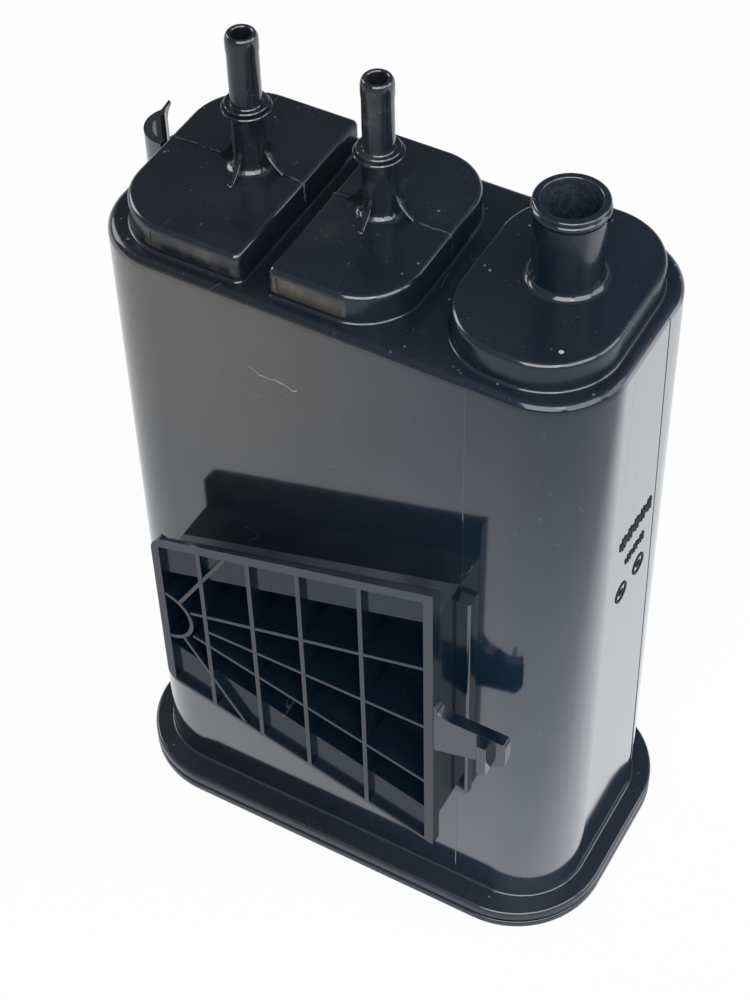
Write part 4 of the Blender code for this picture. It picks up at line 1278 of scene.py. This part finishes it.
@dataclass
class HousingBody:
    """The moulded housing: drafted walls, flange, covers, ports and the hollow inside."""

    covers: list[PlenumCover]
    ports: list[Port]
    length: float = 141.4 * MM
    depth: float = 68.0 * MM
    foot_length: float = 140.6 * MM
    foot_depth: float = 72.0 * MM
    radius: float = 20.4 * MM
    flange_reach: Pair = (5.8 * MM, 7.5 * MM)
    flange_rounds: Pair = (1.0 * MM, 0.4 * MM)
    foot_fillet: float = 0.9 * MM
    z_low: float = 3.6 * MM
    z_flange: float = 7.0 * MM
    z_roof: float = 212.1 * MM
    edge_round: float = 2.7 * MM
    wall: float = 2.5 * MM
    seam_x: float = 38.5 * MM
    seam_width: float = 0.3 * MM
    seam_proud: float = 0.09 * MM
    end_seam_y: Pair = (9.6 * MM, 18.4 * MM)
    mark_place: Pair = (56.8 * MM, -22.1 * MM)

    def shell(self) -> Workpiece:
        """Model the walls with their draft, round corners and rounded roof edge.

        Returns:
            The workpiece.
        """
        piece = Workpiece.block(
            "housing_body", (-self.length / 2, -self.depth / 2, self.z_flange - BITE),
            (self.length / 2, self.depth / 2, self.z_roof))
        draft = (self.foot_length / self.length, self.foot_depth / self.depth, 1)
        piece.scale(lambda m, n: m.z < self.z_flange, draft, (0, 0, self.z_flange))
        piece.round_edges(upright, self.radius, 32)
        piece.round_edges(lambda m, d: m.z > self.z_roof - NEAR, self.edge_round, 8)
        return piece

    def flange(self) -> Workpiece:
        """Model the weld flange.

        Returns:
            The workpiece.
        """
        half_x = self.foot_length / 2 + self.flange_reach[0]
        half_y = self.foot_depth / 2 + self.flange_reach[1]
        top_round, low_round = self.flange_rounds
        piece = Workpiece.block(
            "flange", (-half_x, -half_y, self.z_low), (half_x, half_y, self.z_flange))
        piece.round_edges(upright, self.radius + self.flange_reach[1], 32)
        piece.round_edges(lambda m, d: m.z > self.z_flange - NEAR, top_round, 5)
        piece.round_edges(lambda m, d: m.z < self.z_low + NEAR, low_round, 3)
        return piece

    def front_seam(self) -> Workpiece:
        """Model the thin upright seam that runs down the front wall and over the flange.

        Returns:
            The workpiece.
        """
        x, half = self.seam_x, self.seam_width / 2
        front = -self.depth / 2 - self.seam_proud
        piece = Workpiece.block(
            "front_seam", (x - half, front, self.z_low + 0.5 * MM),
            (x + half, front + 2 * MM, self.z_roof - self.edge_round))
        lean = (self.foot_depth - self.depth) / 2
        piece.shift(lambda m, n: m.z < self.z_flange, (0, -lean, 0))
        return piece

    def end_seam(self) -> Workpiece:
        """Model the thin leaning seam on the right end.

        Returns:
            The workpiece.
        """
        low, high = self.z_flange, self.z_roof - self.edge_round
        top_y, foot_y = self.end_seam_y
        x, half = self.length / 2 + self.seam_proud, self.seam_width / 2
        piece = Workpiece.block(
            "end_seam", (x - 2 * MM, top_y - half, low), (x, top_y + half, high))
        lean = (self.length - self.foot_length) / 2
        piece.shift(lambda m, n: m.z < (low + high) / 2, (-lean, foot_y - top_y, 0))
        return piece

    def round_mark(self) -> Workpiece:
        """Model the cutter of the gate mark on the air cover, a ring round a low dome.

        Returns:
            The cutter.
        """
        top = self.covers[2].top
        ring = ((0.75, -0.02), (0.85, -0.22), (1.1, -0.22), (1.25, 0.3), (0.75, 0.3))
        profile = [(radius * MM, top + height * MM) for radius, height in ring]
        return Workpiece.turned("round_mark", self.mark_place, profile, 32)

    def hollows(self) -> list[Workpiece]:
        """Model the two chambers, with the wall between them left standing.

        Returns:
            The cutters.
        """
        wall, half_divider = self.wall, 1 * MM
        middle = (self.covers[1].x_high + self.covers[2].x_low) / 2
        ends = ((-self.length / 2 + wall, middle - half_divider),
                (middle + half_divider, self.length / 2 - wall))
        made = []
        for index, (low, high) in enumerate(ends):
            piece = Workpiece.block(
                f"chamber_{index}", (low, -self.depth / 2 + wall, self.z_low - BITE),
                (high, self.depth / 2 - wall, self.z_roof - wall))
            outer = low if index == 0 else high
            piece.round_edges(
                lambda m, d: upright(m, d) and abs(m.x - outer) < NEAR, self.radius - wall, 10)
            made.append(piece)
        return made

    def build(self, material: bpy.types.Material) -> bpy.types.Object:
        """Model the whole housing and put it on the frame.

        Args:
            material: Its finish.

        Returns:
            The object.
        """
        body = self.shell()
        body.combine(Cut.JOIN, self.flange(), *(cover.build() for cover in self.covers))
        for level in (self.z_flange, self.z_roof):
            body.fillet_foot(level, self.foot_fillet, 4)
        for cover in self.covers:
            if cover.panel:
                body.combine(Cut.REMOVE, cover.label_panel())
            if cover.ridge:
                body.combine(Cut.JOIN, cover.parting_ridge())
        body.combine(Cut.JOIN, self.front_seam(), self.end_seam())
        body.combine(Cut.REMOVE, self.round_mark())
        for port in self.ports:
            body.combine(Cut.JOIN, port.build(), *port.extras())
        body.combine(Cut.REMOVE, *self.hollows(), *(cover.hollow() for cover in self.covers))
        return body.finish(material, "housing_nylon", "housing")


@dataclass
class SlideBracket:
    """The wedge shaped slide plate on its neck, with lattice, snap arm and side strip."""

    left: float = -48.3 * MM
    right: float = 38.2 * MM
    face: float = -49.6 * MM
    plate_thick: Pair = (2.5 * MM, 3.7 * MM)
    recess: float = 1.9 * MM
    middle_z: float = 95.7 * MM
    plate_halves: Pair = (30.7 * MM, 55.6 * MM)
    neck_halves: Pair = (17.4 * MM, 44.4 * MM)
    neck_wall: float = 2.0 * MM
    neck_inset: float = 0.15 * MM
    neck_back: float = -32.5 * MM
    rim_top: float = 3.2 * MM
    rim_bottom: float = 1.2 * MM
    rim_left: float = 2.5 * MM
    rim_right: float = 2.8 * MM
    rib: float = 1.35 * MM
    rib_places: tuple[float, ...] = (0.177, 0.358, 0.537, 0.752)
    rail: float = 1.2 * MM
    brace_depth: float = 2.2 * MM
    lift: float = 0.1 * MM
    rail_middle: float = -0.9 * MM
    rail_start: float = 10.3 * MM
    rail_spread: Pair = (5.0 * MM, 25.6 * MM)
    ring: float = 9.4 * MM
    brace_angle: float = 46.0
    brace_reach: float = 0.78
    wall_face: float = -36.7 * MM
    strip_wide: float = 4.3 * MM
    strip_face: float = -37.4 * MM
    strip_back: float = -32 * MM
    strip_slope: float = 2.4 * MM
    strip_round: float = 0.8 * MM
    plate_corner: float = 4.0 * MM
    back_bevel: float = 1.4 * MM
    soft: float = 0.28 * MM

    def half(self, halves: Pair, x: float) -> float:
        """Return half the height of the plate or the neck at a place."""
        return mix(*halves, (x - self.left) / (self.right - self.left))

    def wedge(self, name: str, x: Pair, y: Pair, above: Pair, below: Pair) -> Workpiece:
        """Model a block whose heights differ at its two ends.

        Args:
            name: The object's name.
            x: Its ends.
            y: Its front and back.
            above: Its reach above the bracket's middle, at the left and right end.
            below: Its reach below it.

        Returns:
            The workpiece.
        """
        piece = Workpiece.block(name, (x[0], y[0], self.middle_z - below[1]),
                                (x[1], y[1], self.middle_z + above[1]))
        centre = (x[0] + x[1]) / 2
        piece.shift(lambda m, n: m.x < centre and m.z > self.middle_z,
                    (0, 0, above[0] - above[1]))
        piece.shift(lambda m, n: m.x < centre and m.z < self.middle_z,
                    (0, 0, below[1] - below[0]))
        return piece

    def columns(self) -> list[Pair]:
        """Find the open spans between the upright ribs.

        Returns:
            Each span's left and right end.
        """
        edges = [self.left + self.rim_left]
        for place in self.rib_places:
            rib = mix(self.left, self.right, place)
            edges += [rib - self.rib / 2, rib + self.rib / 2]
        edges.append(self.right - self.rim_right)
        return list(zip(edges[::2], edges[1::2]))

    def pocket(self, span: Pair, deep: bool) -> Workpiece:
        """Model the cutter of one pocket, over the web or down to the housing's wall.

        Args:
            span: Its left and right end.
            deep: Whether it reaches the wall.

        Returns:
            The cutter.
        """
        def reach(halves: Pair, rim: float) -> Pair:
            """Return how far the pocket reaches at its two ends."""
            return (self.half(halves, span[0]) - rim, self.half(halves, span[1]) - rim)

        if deep:
            above = below = reach(self.neck_halves, self.neck_wall)
            floor = self.wall_face
        else:
            above = reach(self.plate_halves, self.rim_top)
            below = reach(self.plate_halves, self.rim_bottom)
            floor = self.face + self.recess
        piece = self.wedge("pocket", span, (self.face - BITE, floor), above, below)
        piece.round_edges(front_to_back, 0.35 * MM, 2)
        return piece

    def bar(self, name: str, start: Pair, end: Pair, back: float) -> Workpiece:
        """Model a thin rail between two places of the lattice.

        Args:
            name: The object's name.
            start: Its left end, as x and height.
            end: Its right end.
            back: How far back it reaches, as y.

        Returns:
            The workpiece.
        """
        run, rise = end[0] - start[0], end[1] - start[1]
        length = math.hypot(run, rise)
        x, z = (start[0] + end[0]) / 2, (start[1] + end[1]) / 2
        piece = Workpiece.block(
            name, (x - length / 2, self.face + self.lift, z - self.rail / 2),
            (x + length / 2, back, z + self.rail / 2), (0, -math.atan2(rise, run), 0))
        piece.soften(self.soft)
        return piece

    def lattice(self) -> list[Workpiece]:
        """Model the fan of rails, the two braces and the half ring.

        Returns:
            The workpieces.
        """
        middle = self.middle_z + self.rail_middle
        start, end = self.left + self.rail_start, self.right - self.rim_right / 2
        near, far = self.rail_spread
        first, second = (mix(self.left, self.right, place) for place in self.rib_places[:2])
        deep = self.wall_face + 0.3 * MM
        bars = [self.bar("rail_middle", (first, middle), (end, middle), deep),
                self.bar("rail_upper", (start, middle + near), (end, middle + far), deep),
                self.bar("rail_lower", (start, middle - near), (end, middle - far), deep)]
        angle = math.radians(self.brace_angle)
        foot_x = self.left + self.ring * math.cos(angle)
        top_x = mix(foot_x, second, self.brace_reach)
        reach = self.half(self.plate_halves, top_x) - self.rim_bottom / 2
        for side in (1, -1):
            foot = (foot_x, middle + side * self.ring * math.sin(angle))
            top = (top_x, self.middle_z + side * reach)
            bars.append(self.bar("brace", foot, top, self.face + self.brace_depth))
        return bars + [self.half_ring(middle)]

    def half_ring(self, middle: float) -> Workpiece:
        """Model the half ring at the narrow end by spinning a small section.

        Args:
            middle: The height of its middle.

        Returns:
            The workpiece.
        """
        x = self.left + self.rim_left / 3
        low = middle - self.ring
        piece = Workpiece.block(
            "half_ring", (x + 0.02 * MM, self.face + 2 * self.lift, low - self.rail / 2),
            (x + 0.3 * MM, self.wall_face, low + self.rail / 2))
        with piece.editing(Part.FACE):
            piece.pick(Part.FACE, lambda m, n: n.x > ALONG)
            bpy.ops.mesh.spin(
                steps=24, angle=math.radians(176), center=(x, 0, middle), axis=(0, 1, 0))
            piece.close()
        return piece

    def strip(self) -> Workpiece:
        """Model the raised strip on the wall beside the neck.

        Returns:
            The workpiece.
        """
        half = self.neck_halves[1] - 1 * MM
        front = self.strip_face + 0.4 * MM
        piece = Workpiece.block(
            "side_strip", (self.right - BITE, self.strip_face, self.middle_z - half),
            (self.right + self.strip_wide, self.strip_back, self.middle_z + half))
        piece.shift(lambda m, n: m.z > self.middle_z and m.y < front, (0, 0, -self.strip_slope))
        piece.round_edges(lambda m, d: m.x > self.right and m.y < front and upright(m, d),
                          self.strip_round, 4)
        return piece

    def build(self, material: bpy.types.Material) -> bpy.types.Object:
        """Model the bracket and put it on the frame.

        Args:
            material: Its finish.

        Returns:
            The object.
        """
        thin, thick = self.plate_thick
        body = self.wedge("slide_bracket", (self.left, self.right),
                          (self.face, self.face + thick), self.plate_halves, self.plate_halves)
        body.shift(lambda m, n: m.x < 0 and m.y > self.face + NEAR, (0, thin - thick, 0))
        body.round_edges(lambda m, d: front_to_back(m, d) and m.x < 0, self.plate_corner, 8)
        body.round_edges(
            lambda m, d: abs(d.x) > ALONG and m.z > self.middle_z and m.y > self.face + 0.1 * MM,
            self.back_bevel, 1)
        body.combine(Cut.REMOVE, *(self.pocket(span, deep=False) for span in self.columns()))
        front = self.face + self.recess + 0.3 * MM
        neck = self.wedge(
            "neck", (self.left + self.neck_inset, self.right - self.neck_inset),
            (front, self.neck_back), self.neck_halves, self.neck_halves)
        body.combine(Cut.JOIN, neck)
        body.combine(Cut.REMOVE, *(self.pocket(span, deep=True) for span in self.columns()))
        body.soften(self.soft)
        arm = SnapArm(self.right, self.face, self.middle_z)
        body.combine(Cut.JOIN, *self.lattice(), self.strip(), *arm.build())
        return body.finish(material, "housing_nylon", "housing")


@dataclass
class SnapArm:
    """The spring arm at the bracket's wide end and its catch."""

    root: float
    face: float
    middle_z: float
    length: float = 21.4 * MM
    thick: float = 3.6 * MM
    top: float = 6.1 * MM
    belly: tuple[Pair, ...] = (
        (-1.0 * MM, -9.8 * MM), (12.0 * MM, -5.9 * MM), (17.0 * MM, -6.2 * MM),
        (21.4 * MM, -3.6 * MM))
    set_back: float = 0.15 * MM
    tip_round: float = 1.3 * MM
    soft: float = 0.35 * MM
    fillet: float = 5.0 * MM
    hook_root: Pair = (12.3 * MM, 17.3 * MM)
    hook_margin: float = 0.2 * MM
    hook_lead: float = 2.4 * MM
    hook_reach: float = 3.2 * MM

    def arm(self, front: float) -> Workpiece:
        """Model the arm, whose lower edge follows the belly.

        Args:
            front: Where its front face lies, as y.

        Returns:
            The workpiece.
        """
        tip, foot = self.root + self.length, self.belly[0]
        piece = Workpiece.block(
            "snap_arm", (self.root + foot[0], front, self.middle_z + foot[1]),
            (tip, front + self.thick, self.middle_z + self.top))
        spans = len(self.belly) - 1
        with piece.editing(Part.EDGE):
            piece.pick(Part.EDGE, lambda m, d: abs(d.x) > 0.7 and m.z < self.middle_z)
            bpy.ops.mesh.subdivide(number_cuts=spans - 1)
        for index, (reach, bottom) in enumerate(self.belly):
            x = mix(self.root + foot[0], tip, index / spans)
            piece.shift(lambda m, n: abs(m.x - x) < NEAR and m.z < self.middle_z,
                        (self.root + reach - x, 0, bottom - foot[1]))
        piece.round_edges(
            lambda m, d: m.x > tip - NEAR and front_to_back(m, d), self.tip_round, 5)
        piece.soften(self.soft)
        return piece

    def web(self, front: float) -> Workpiece:
        """Model the web that fills the corner between arm and plate with a round.

        Args:
            front: Where the arm's front face lies, as y.

        Returns:
            The workpiece.
        """
        fillet, sink = self.fillet, 0.05 * MM
        top = self.middle_z + self.top
        x, z = self.root + fillet, top + fillet
        piece = Workpiece.block("arm_root", (self.root - BITE, front + sink, top - BITE),
                                (x, front + self.thick - sink, z))
        cutter = Workpiece.block("root_round", (x - fillet, front - 2 * MM, z - fillet),
                                 (x + fillet, front + self.thick + 2 * MM, z + fillet))
        cutter.round_edges(front_to_back, fillet * 0.999, 20)
        piece.combine(Cut.REMOVE, cutter)
        return piece

    def hook(self, front: float) -> Workpiece:
        """Model the catch, a wedge as high as the arm.

        Args:
            front: Where the arm's front face lies, as y.

        Returns:
            The workpiece.
        """
        left, right = (self.root + reach for reach in self.hook_root)
        low = self.middle_z + self.belly[2][1] + self.hook_margin
        piece = Workpiece.block(
            "hook", (left, self.face - self.hook_reach, low),
            (right, front + BITE, self.middle_z + self.top - self.hook_margin))
        piece.shift(lambda m, n: m.y < self.face and m.x < right - 1 * MM, (self.hook_lead, 0, 0))
        piece.soften(self.soft)
        return piece

    def build(self) -> list[Workpiece]:
        """Model the arm, its root web and its hook.

        Returns:
            The workpieces.
        """
        front = self.face + self.set_back
        return [self.arm(front), self.web(front), self.hook(front)]


@dataclass
class HoseClip:
    """The open clip on the left end, spun from a small section and drawn out to a thin lip."""

    wall_x: float = -70.4 * MM
    y: float = 11.4 * MM
    bore: float = 5.7 * MM
    band: float = 2.19 * MM
    root: float = 0.9 * MM
    sweep: float = 122.0
    lip: float = 3.9 * MM
    lip_thick: float = 1.1 * MM
    lip_lean: Pair = (-0.25 * MM, -0.35 * MM)
    top: float = 214.7 * MM
    length: float = 18.0 * MM
    lip_drop: float = 0.8 * MM
    lip_round: float = 3.2 * MM
    soft: float = 0.22 * MM

    def spun(self) -> Workpiece:
        """Model the band and its lip.

        Returns:
            The workpiece.
        """
        low, outer = self.top - self.length, self.y - self.bore - self.band
        piece = Workpiece.block("hose_clip", (self.wall_x, outer, low),
                                (self.wall_x + self.root, outer + self.band, self.top))
        angle = math.radians(self.sweep)
        first_lean, second_lean = self.lip_lean
        edge = self.wall_x - (self.bore + self.band) * math.sin(angle)
        with piece.editing(Part.FACE):
            piece.pick(Part.FACE, lambda m, n: n.x < -ALONG)
            bpy.ops.mesh.spin(
                steps=20, angle=angle, center=(self.wall_x, self.y, 0), axis=(0, 0, 1))
            bpy.ops.mesh.extrude_region_move(
                TRANSFORM_OT_translate={"value": (first_lean, self.lip * 0.4, 0)})
            bpy.ops.transform.resize(
                value=(self.lip_thick / self.band, 0.4, 1),
                center_override=(edge, self.y + self.bore, low))
            bpy.ops.mesh.extrude_region_move(
                TRANSFORM_OT_translate={"value": (second_lean, self.lip * 0.75, 0)})
            piece.close()
        return piece

    def build(self, material: bpy.types.Material) -> bpy.types.Object:
        """Model the clip with its rounded lip and put it on the frame.

        Args:
            material: Its finish.

        Returns:
            The object.
        """
        piece = self.spun()
        lip_y = self.y + self.bore
        cutter = Workpiece.block(
            "lip_cut", (self.wall_x - 12 * MM, lip_y, self.top - self.length - BITE),
            (self.wall_x - 2 * MM, self.y + 12 * MM, self.top - self.lip_drop))
        cutter.round_edges(
            lambda m, d: m.y < lip_y + 0.1 * MM and m.z > self.top - 1 * MM and abs(d.x) > ALONG,
            self.lip_round, 8)
        piece.combine(Cut.REMOVE, cutter)
        piece.soften(self.soft)
        return piece.finish(material, "housing_nylon", "housing")


@dataclass
class BottomCover:
    """The welded cover with its grooved rim, locating rib and ribbed underside."""

    half_x: float = 76.1 * MM
    half_y: float = 43.5 * MM
    radius: float = 27.9 * MM
    edge_round: float = 0.5 * MM
    floor: float = 3.3 * MM
    groove: float = 0.8 * MM
    inset: float = 0.9 * MM
    rib: float = 1.8 * MM
    pocket_half_x: float = 68.5 * MM
    pocket_half_y: float = 34.2 * MM
    pocket_corner: float = 3.6 * MM
    undercut: float = 1.4 * MM
    columns: int = 4

    def plate(self, name: str, inset: float, low: float, high: float) -> Workpiece:
        """Model a plate with the cover's round corners.

        Args:
            name: The object's name.
            inset: How far its rim lies inside the cover's.
            low: The height of its underside.
            high: The height of its top.

        Returns:
            The workpiece.
        """
        piece = Workpiece.block(name, (inset - self.half_x, inset - self.half_y, low),
                                (self.half_x - inset, self.half_y - inset, high))
        piece.round_edges(upright, self.radius - inset, 32)
        return piece

    def pockets(self) -> Iterator[Workpiece]:
        """Model the cutters of the underside's pockets.

        Returns:
            The cutters, one by one.
        """
        pitch, half = 2 * self.pocket_half_x / self.columns, self.rib / 2
        for column in range(self.columns):
            x = column * pitch - self.pocket_half_x
            for low, high in ((-self.pocket_half_y, 0), (0, self.pocket_half_y)):
                cutter = Workpiece.block("pocket", (x + half, low + half, -BITE),
                                         (x + pitch - half, high - half, self.undercut))
                cutter.round_edges(upright, self.pocket_corner, 6)
                yield cutter

    def build(self, material: bpy.types.Material) -> bpy.types.Object:
        """Model the cover and put it on the frame.

        Args:
            material: Its finish.

        Returns:
            The object.
        """
        step = self.floor - self.groove
        piece = self.plate("cover", 0.0, 0.0, step)
        piece.round_edges(lambda m, d: True, self.edge_round, 3)
        piece.combine(Cut.JOIN, self.plate("ledge", self.inset, step - 0.5 * MM, self.floor))
        piece.combine(Cut.REMOVE, *self.pockets())
        return piece.finish(material, "cover_nylon", "bottom_cover")


@dataclass
class EndMarks:
    """Plain rings and rows of upright strokes, printed on the right end."""

    face: float = 70.45 * MM
    foot: float = 7 * MM
    slope: float = 0.4 / 202.5
    proud: float = 0.14 * MM
    sink: float = 0.4 * MM
    rings: tuple[Pair, ...] = ((5.1 * MM, 125.3 * MM), (-5.4 * MM, 124.5 * MM))
    ring_radius: float = 2.9 * MM
    ring_line: float = 0.42 * MM
    ring_dash: Pair = (2.6 * MM, 0.8 * MM)
    rows: tuple[tuple[float, float, float, int, float], ...] = (
        (-8.6 * MM, 9.4 * MM, 145.6 * MM, 15, 4.4 * MM),
        (-4.0 * MM, 6.4 * MM, 135.6 * MM, 9, 2.8 * MM),
    )
    dash: float = 0.72 * MM
    short: float = 0.6

    def wall(self, z: float) -> float:
        """Return where the end wall lies at a height."""
        return self.face + (z - self.foot) * self.slope

    def dash_block(self, y: float, z: float, size: Pair) -> Workpiece:
        """Model one short dash.

        Args:
            y: Its middle.
            z: The height of its middle.
            size: How wide and high it is.

        Returns:
            The workpiece.
        """
        x = self.wall(z)
        piece = Workpiece.block("dash", (x - self.sink, y - size[0] / 2, z - size[1] / 2),
                                (x + self.proud, y + size[0] / 2, z + size[1] / 2))
        piece.soften(0.05 * MM, 1)
        return piece

    def ring(self, y: float, z: float) -> Workpiece:
        """Model one ring from a flattened round section.

        Args:
            y: Its middle.
            z: The height of its middle.

        Returns:
            The workpiece.
        """
        place = (self.wall(z), y, z)
        bpy.ops.object.select_all(action="DESELECT")
        bpy.ops.mesh.primitive_torus_add(
            location=place, rotation=(0, math.pi / 2, 0), major_segments=48, minor_segments=10,
            major_radius=self.ring_radius, minor_radius=self.ring_line)
        piece = Workpiece(bpy.context.active_object, "ring")
        piece.scale(lambda m, n: True, (self.proud / self.ring_line, 1, 1), place)
        return piece

    def build(self, material: bpy.types.Material) -> bpy.types.Object:
        """Model all the marks as one piece.

        Args:
            material: Their finish.

        Returns:
            The object.
        """
        pieces = [self.ring(y, z) for y, z in self.rings]
        pieces += [self.dash_block(y, z, self.ring_dash) for y, z in self.rings]
        for low, high, z, count, tall in self.rows:
            for step in range(count):
                size = (self.dash, tall * (1.0 if step % 3 else self.short))
                pieces.append(self.dash_block(mix(low, high, step / (count - 1)), z, size))
        whole = pieces[0]
        whole.activate()
        for piece in pieces:
            piece.obj.select_set(True)
        bpy.ops.object.join()
        whole.obj.name = whole.obj.data.name = "end_marks"
        return whole.finish(material, "housing_nylon")


@dataclass
class Filling:
    """What is sealed inside: the frame's own solids in their finishes."""

    nodes: dict[str, bpy.types.Object]

    def dress(self) -> None:
        """Give every inner piece its finish."""
        finishes = {
            "carbon_bed": Granules(
                "carbon_granules", opaque(0.012, 0.012, 0.012), 0.85,
                shade=opaque(0.035, 0.035, 0.037), size=1.6 * MM, relief=0.96 * MM),
            "filter_pad": FibrePad(
                "filter_foam", opaque(0.16, 0.17, 0.18), 0.92,
                shade=opaque(0.088, 0.0935, 0.099), size=0.9 * MM, relief=0.9 * MM),
            "lower_pad": FibrePad(
                "grey_felt", opaque(0.42, 0.42, 0.40), 0.93,
                shade=opaque(0.231, 0.231, 0.22), size=0.5 * MM, relief=0.5 * MM),
            "pressure_plate": NaturalNylon(
                "plate_nylon", opaque(0.55, 0.54, 0.50), 0.42,
                shade=opaque(0.46, 0.44, 0.38), size=0.4 * MM, relief=0.04 * MM),
            "spring": DrawnWire(
                "spring_wire", opaque(0.62, 0.61, 0.58), 0.24,
                shade=opaque(0.38, 0.37, 0.35), size=0.25 * MM, relief=0.02 * MM, metallic=1.0),
        }
        for kind, finish in finishes.items():
            material = finish.build()
            for name, obj in self.nodes.items():
                if name.startswith(kind):
                    obj.data.materials.clear()
                    obj.data.materials.append(material)
                    log.info("%s dressed as %s", name, finish.name)


@dataclass(frozen=True)
class Viewpoint:
    """The camera, as solved from the outlines in the photograph."""

    place: Point = (0.2030, -0.3559, 0.5759)
    right: Point = (0.87243, 0.48833, -0.01994)
    forward: Point = (-0.33876, 0.57479, -0.74489)
    lens: float = 79.8
    sensor: float = 36.0

    def build(self) -> None:
        """Make the scene's camera."""
        data = bpy.data.cameras.new("camera")
        data.sensor_fit = "VERTICAL"
        data.sensor_height = self.sensor
        data.lens = self.lens
        data.clip_start = 0.01
        camera = bpy.data.objects.new("camera", data)
        bpy.context.scene.collection.objects.link(camera)
        right, forward = Vector(self.right).normalized(), Vector(self.forward).normalized()
        turn = Matrix((right, right.cross(forward), -forward)).transposed().to_4x4()
        camera.matrix_world = Matrix.Translation(self.place) @ turn
        bpy.context.scene.camera = camera


@dataclass(frozen=True)
class Softbox:
    """One square lamp aimed at the canister."""

    place: Point
    size: float
    power: float
    aim: Point = (0, 0, 0.11)

    def build(self, name: str) -> None:
        """Make the lamp.

        Args:
            name: Its name.
        """
        data = bpy.data.lights.new(name, "AREA")
        data.shape = "SQUARE"
        data.size = self.size
        data.energy = self.power
        lamp = bpy.data.objects.new(name, data)
        bpy.context.scene.collection.objects.link(lamp)
        lamp.location = self.place
        towards = Vector(self.aim) - Vector(self.place)
        lamp.rotation_euler = towards.to_track_quat("-Z", "Y").to_euler()


@dataclass(frozen=True)
class Studio:
    """A white floor under a grey ceiling, with soft lamps."""

    ceiling: Colour = opaque(0.15, 0.17, 0.21)
    white: Colour = opaque(1, 1, 1)
    paper: Colour = opaque(0.95, 0.95, 0.95)
    cool_paper: Colour = opaque(0.95, 0.975, 1.0)
    glow: float = 0.94
    floor_half: float = 6.0
    lamps: tuple[Softbox, ...] = (
        Softbox((0.50, -1.38, 1.47), 1.45, 26.0),
        Softbox((1.46, -0.53, 1.38), 1.45, 20.0),
        Softbox((1.62, 0.75, 1.00), 1.20, 10.0),
        Softbox((-1.70, 0.20, 1.10), 0.90, 10.0),
    )

    def world(self) -> None:
        """Make the surroundings: grey overhead, white below and for the camera."""
        world = bpy.data.worlds.new("surroundings")
        bpy.context.scene.world = world
        world.use_nodes = True
        graph = Graph(world.node_tree)
        direction = graph.node("ShaderNodeTexCoord", {}, [], "Generated")
        height = graph.node("ShaderNodeSeparateXYZ", {}, [direction], "Z")
        sky = graph.blend(height.ramp(-0.02, 0.10), self.white, self.ceiling)
        camera = graph.node("ShaderNodeLightPath", {}, [], "Is Camera Ray")
        light = [graph.blend(camera, sky, self.white), 1.0]
        background = graph.node("ShaderNodeBackground", {}, light)
        graph.node("ShaderNodeOutputWorld", {}, {"Surface": background})

    def floor(self) -> None:
        """Make the floor, which shows its own white and keeps the canister's shadow."""
        bpy.ops.object.select_all(action="DESELECT")
        bpy.ops.mesh.primitive_plane_add(size=2 * self.floor_half, location=(0, 0, 0))
        floor = bpy.context.active_object
        floor.name = "floor"
        material = bpy.data.materials.new("floor_paper")
        material.use_nodes = True
        graph = Graph(material.node_tree)
        camera, glossy, through = (graph.node("ShaderNodeLightPath", {}, [], f"Is {kind} Ray")
                                   for kind in ("Camera", "Glossy", "Transmission"))
        seen = (camera + glossy + through).clamp()
        paper = graph.node("ShaderNodeBsdfDiffuse", {}, {"Color": self.paper})
        shade = graph.blend(camera, self.cool_paper, self.white)
        glow = graph.node("ShaderNodeEmission", {}, {"Color": shade, "Strength": 1.0})
        mixed = graph.node("ShaderNodeMixShader", {}, [seen * self.glow, paper, glow])
        graph.node("ShaderNodeOutputMaterial", {}, {"Surface": mixed})
        floor.data.materials.append(material)

    def build(self) -> None:
        """Make floor, surroundings and lamps."""
        self.world()
        self.floor()
        for index, lamp in enumerate(self.lamps):
            lamp.build(f"softbox_{index}")
        bpy.context.scene.view_settings.view_transform = "Standard"


def main() -> None:
    """Build the whole scene round the frame."""
    logging.basicConfig(level=logging.INFO, format="%(message)s")
    Viewpoint().build()
    Studio().build()
    covers = [
        PlenumCover("tank_cover", -64.9 * MM, -25.4 * MM, 17.0 * MM, 1.8 * MM,
                    panel=(-50.9 * MM, -28.0 * MM), ridge=(-65.1 * MM, -25.2 * MM)),
        PlenumCover("purge_cover", -17.4 * MM, 15.9 * MM, 1.8 * MM, 15.5 * MM,
                    panel=(-15.0 * MM, 2.9 * MM), ridge=(-17.6 * MM, 10.5 * MM)),
        PlenumCover("air_cover", 24.6 * MM, 66.8 * MM, 19.0 * MM, 19.0 * MM),
    ]
    ports = [
        HosePort("tank_port", -40.75 * MM, 260.5 * MM),
        HosePort("purge_port", -3.85 * MM, 260.5 * MM),
        AirPort("air_port", 46.7 * MM, 244.5 * MM),
    ]
    pieces = (
        (HousingBody(covers, ports),
         HousingNylon("housing_nylon", opaque(0.009, 0.011, 0.014), 0.085, gloss=0.12)),
        (EndMarks(),
         PrintInk("mark_ink", opaque(0.010, 0.012, 0.015), 0.72,
                  shade=opaque(0.05, 0.05, 0.055), size=0.8 * MM, relief=0.03 * MM)),
        (SlideBracket(),
         BracketNylon("bracket_nylon", opaque(0.003, 0.009, 0.016), 0.14, gloss=0.17,
                      edge_gloss=0.08, ior=1.27, film=0.46, dust=0.4,
                      cool_reflection_colour=opaque(0.004, 0.013, 0.025))),
        (HoseClip(), MouldedNylon("clip_nylon", opaque(0.012, 0.014, 0.016), 0.16, gloss=0.26)),
        (BottomCover(),
         MouldedNylon("cover_nylon", opaque(0.020, 0.025, 0.034), 0.30, gloss=0.0)),
    )
    for piece, finish in pieces:
        piece.build(finish.build())
    Filling(frame["nodes"]).dress()


if __name__ == "__main__":
    main()
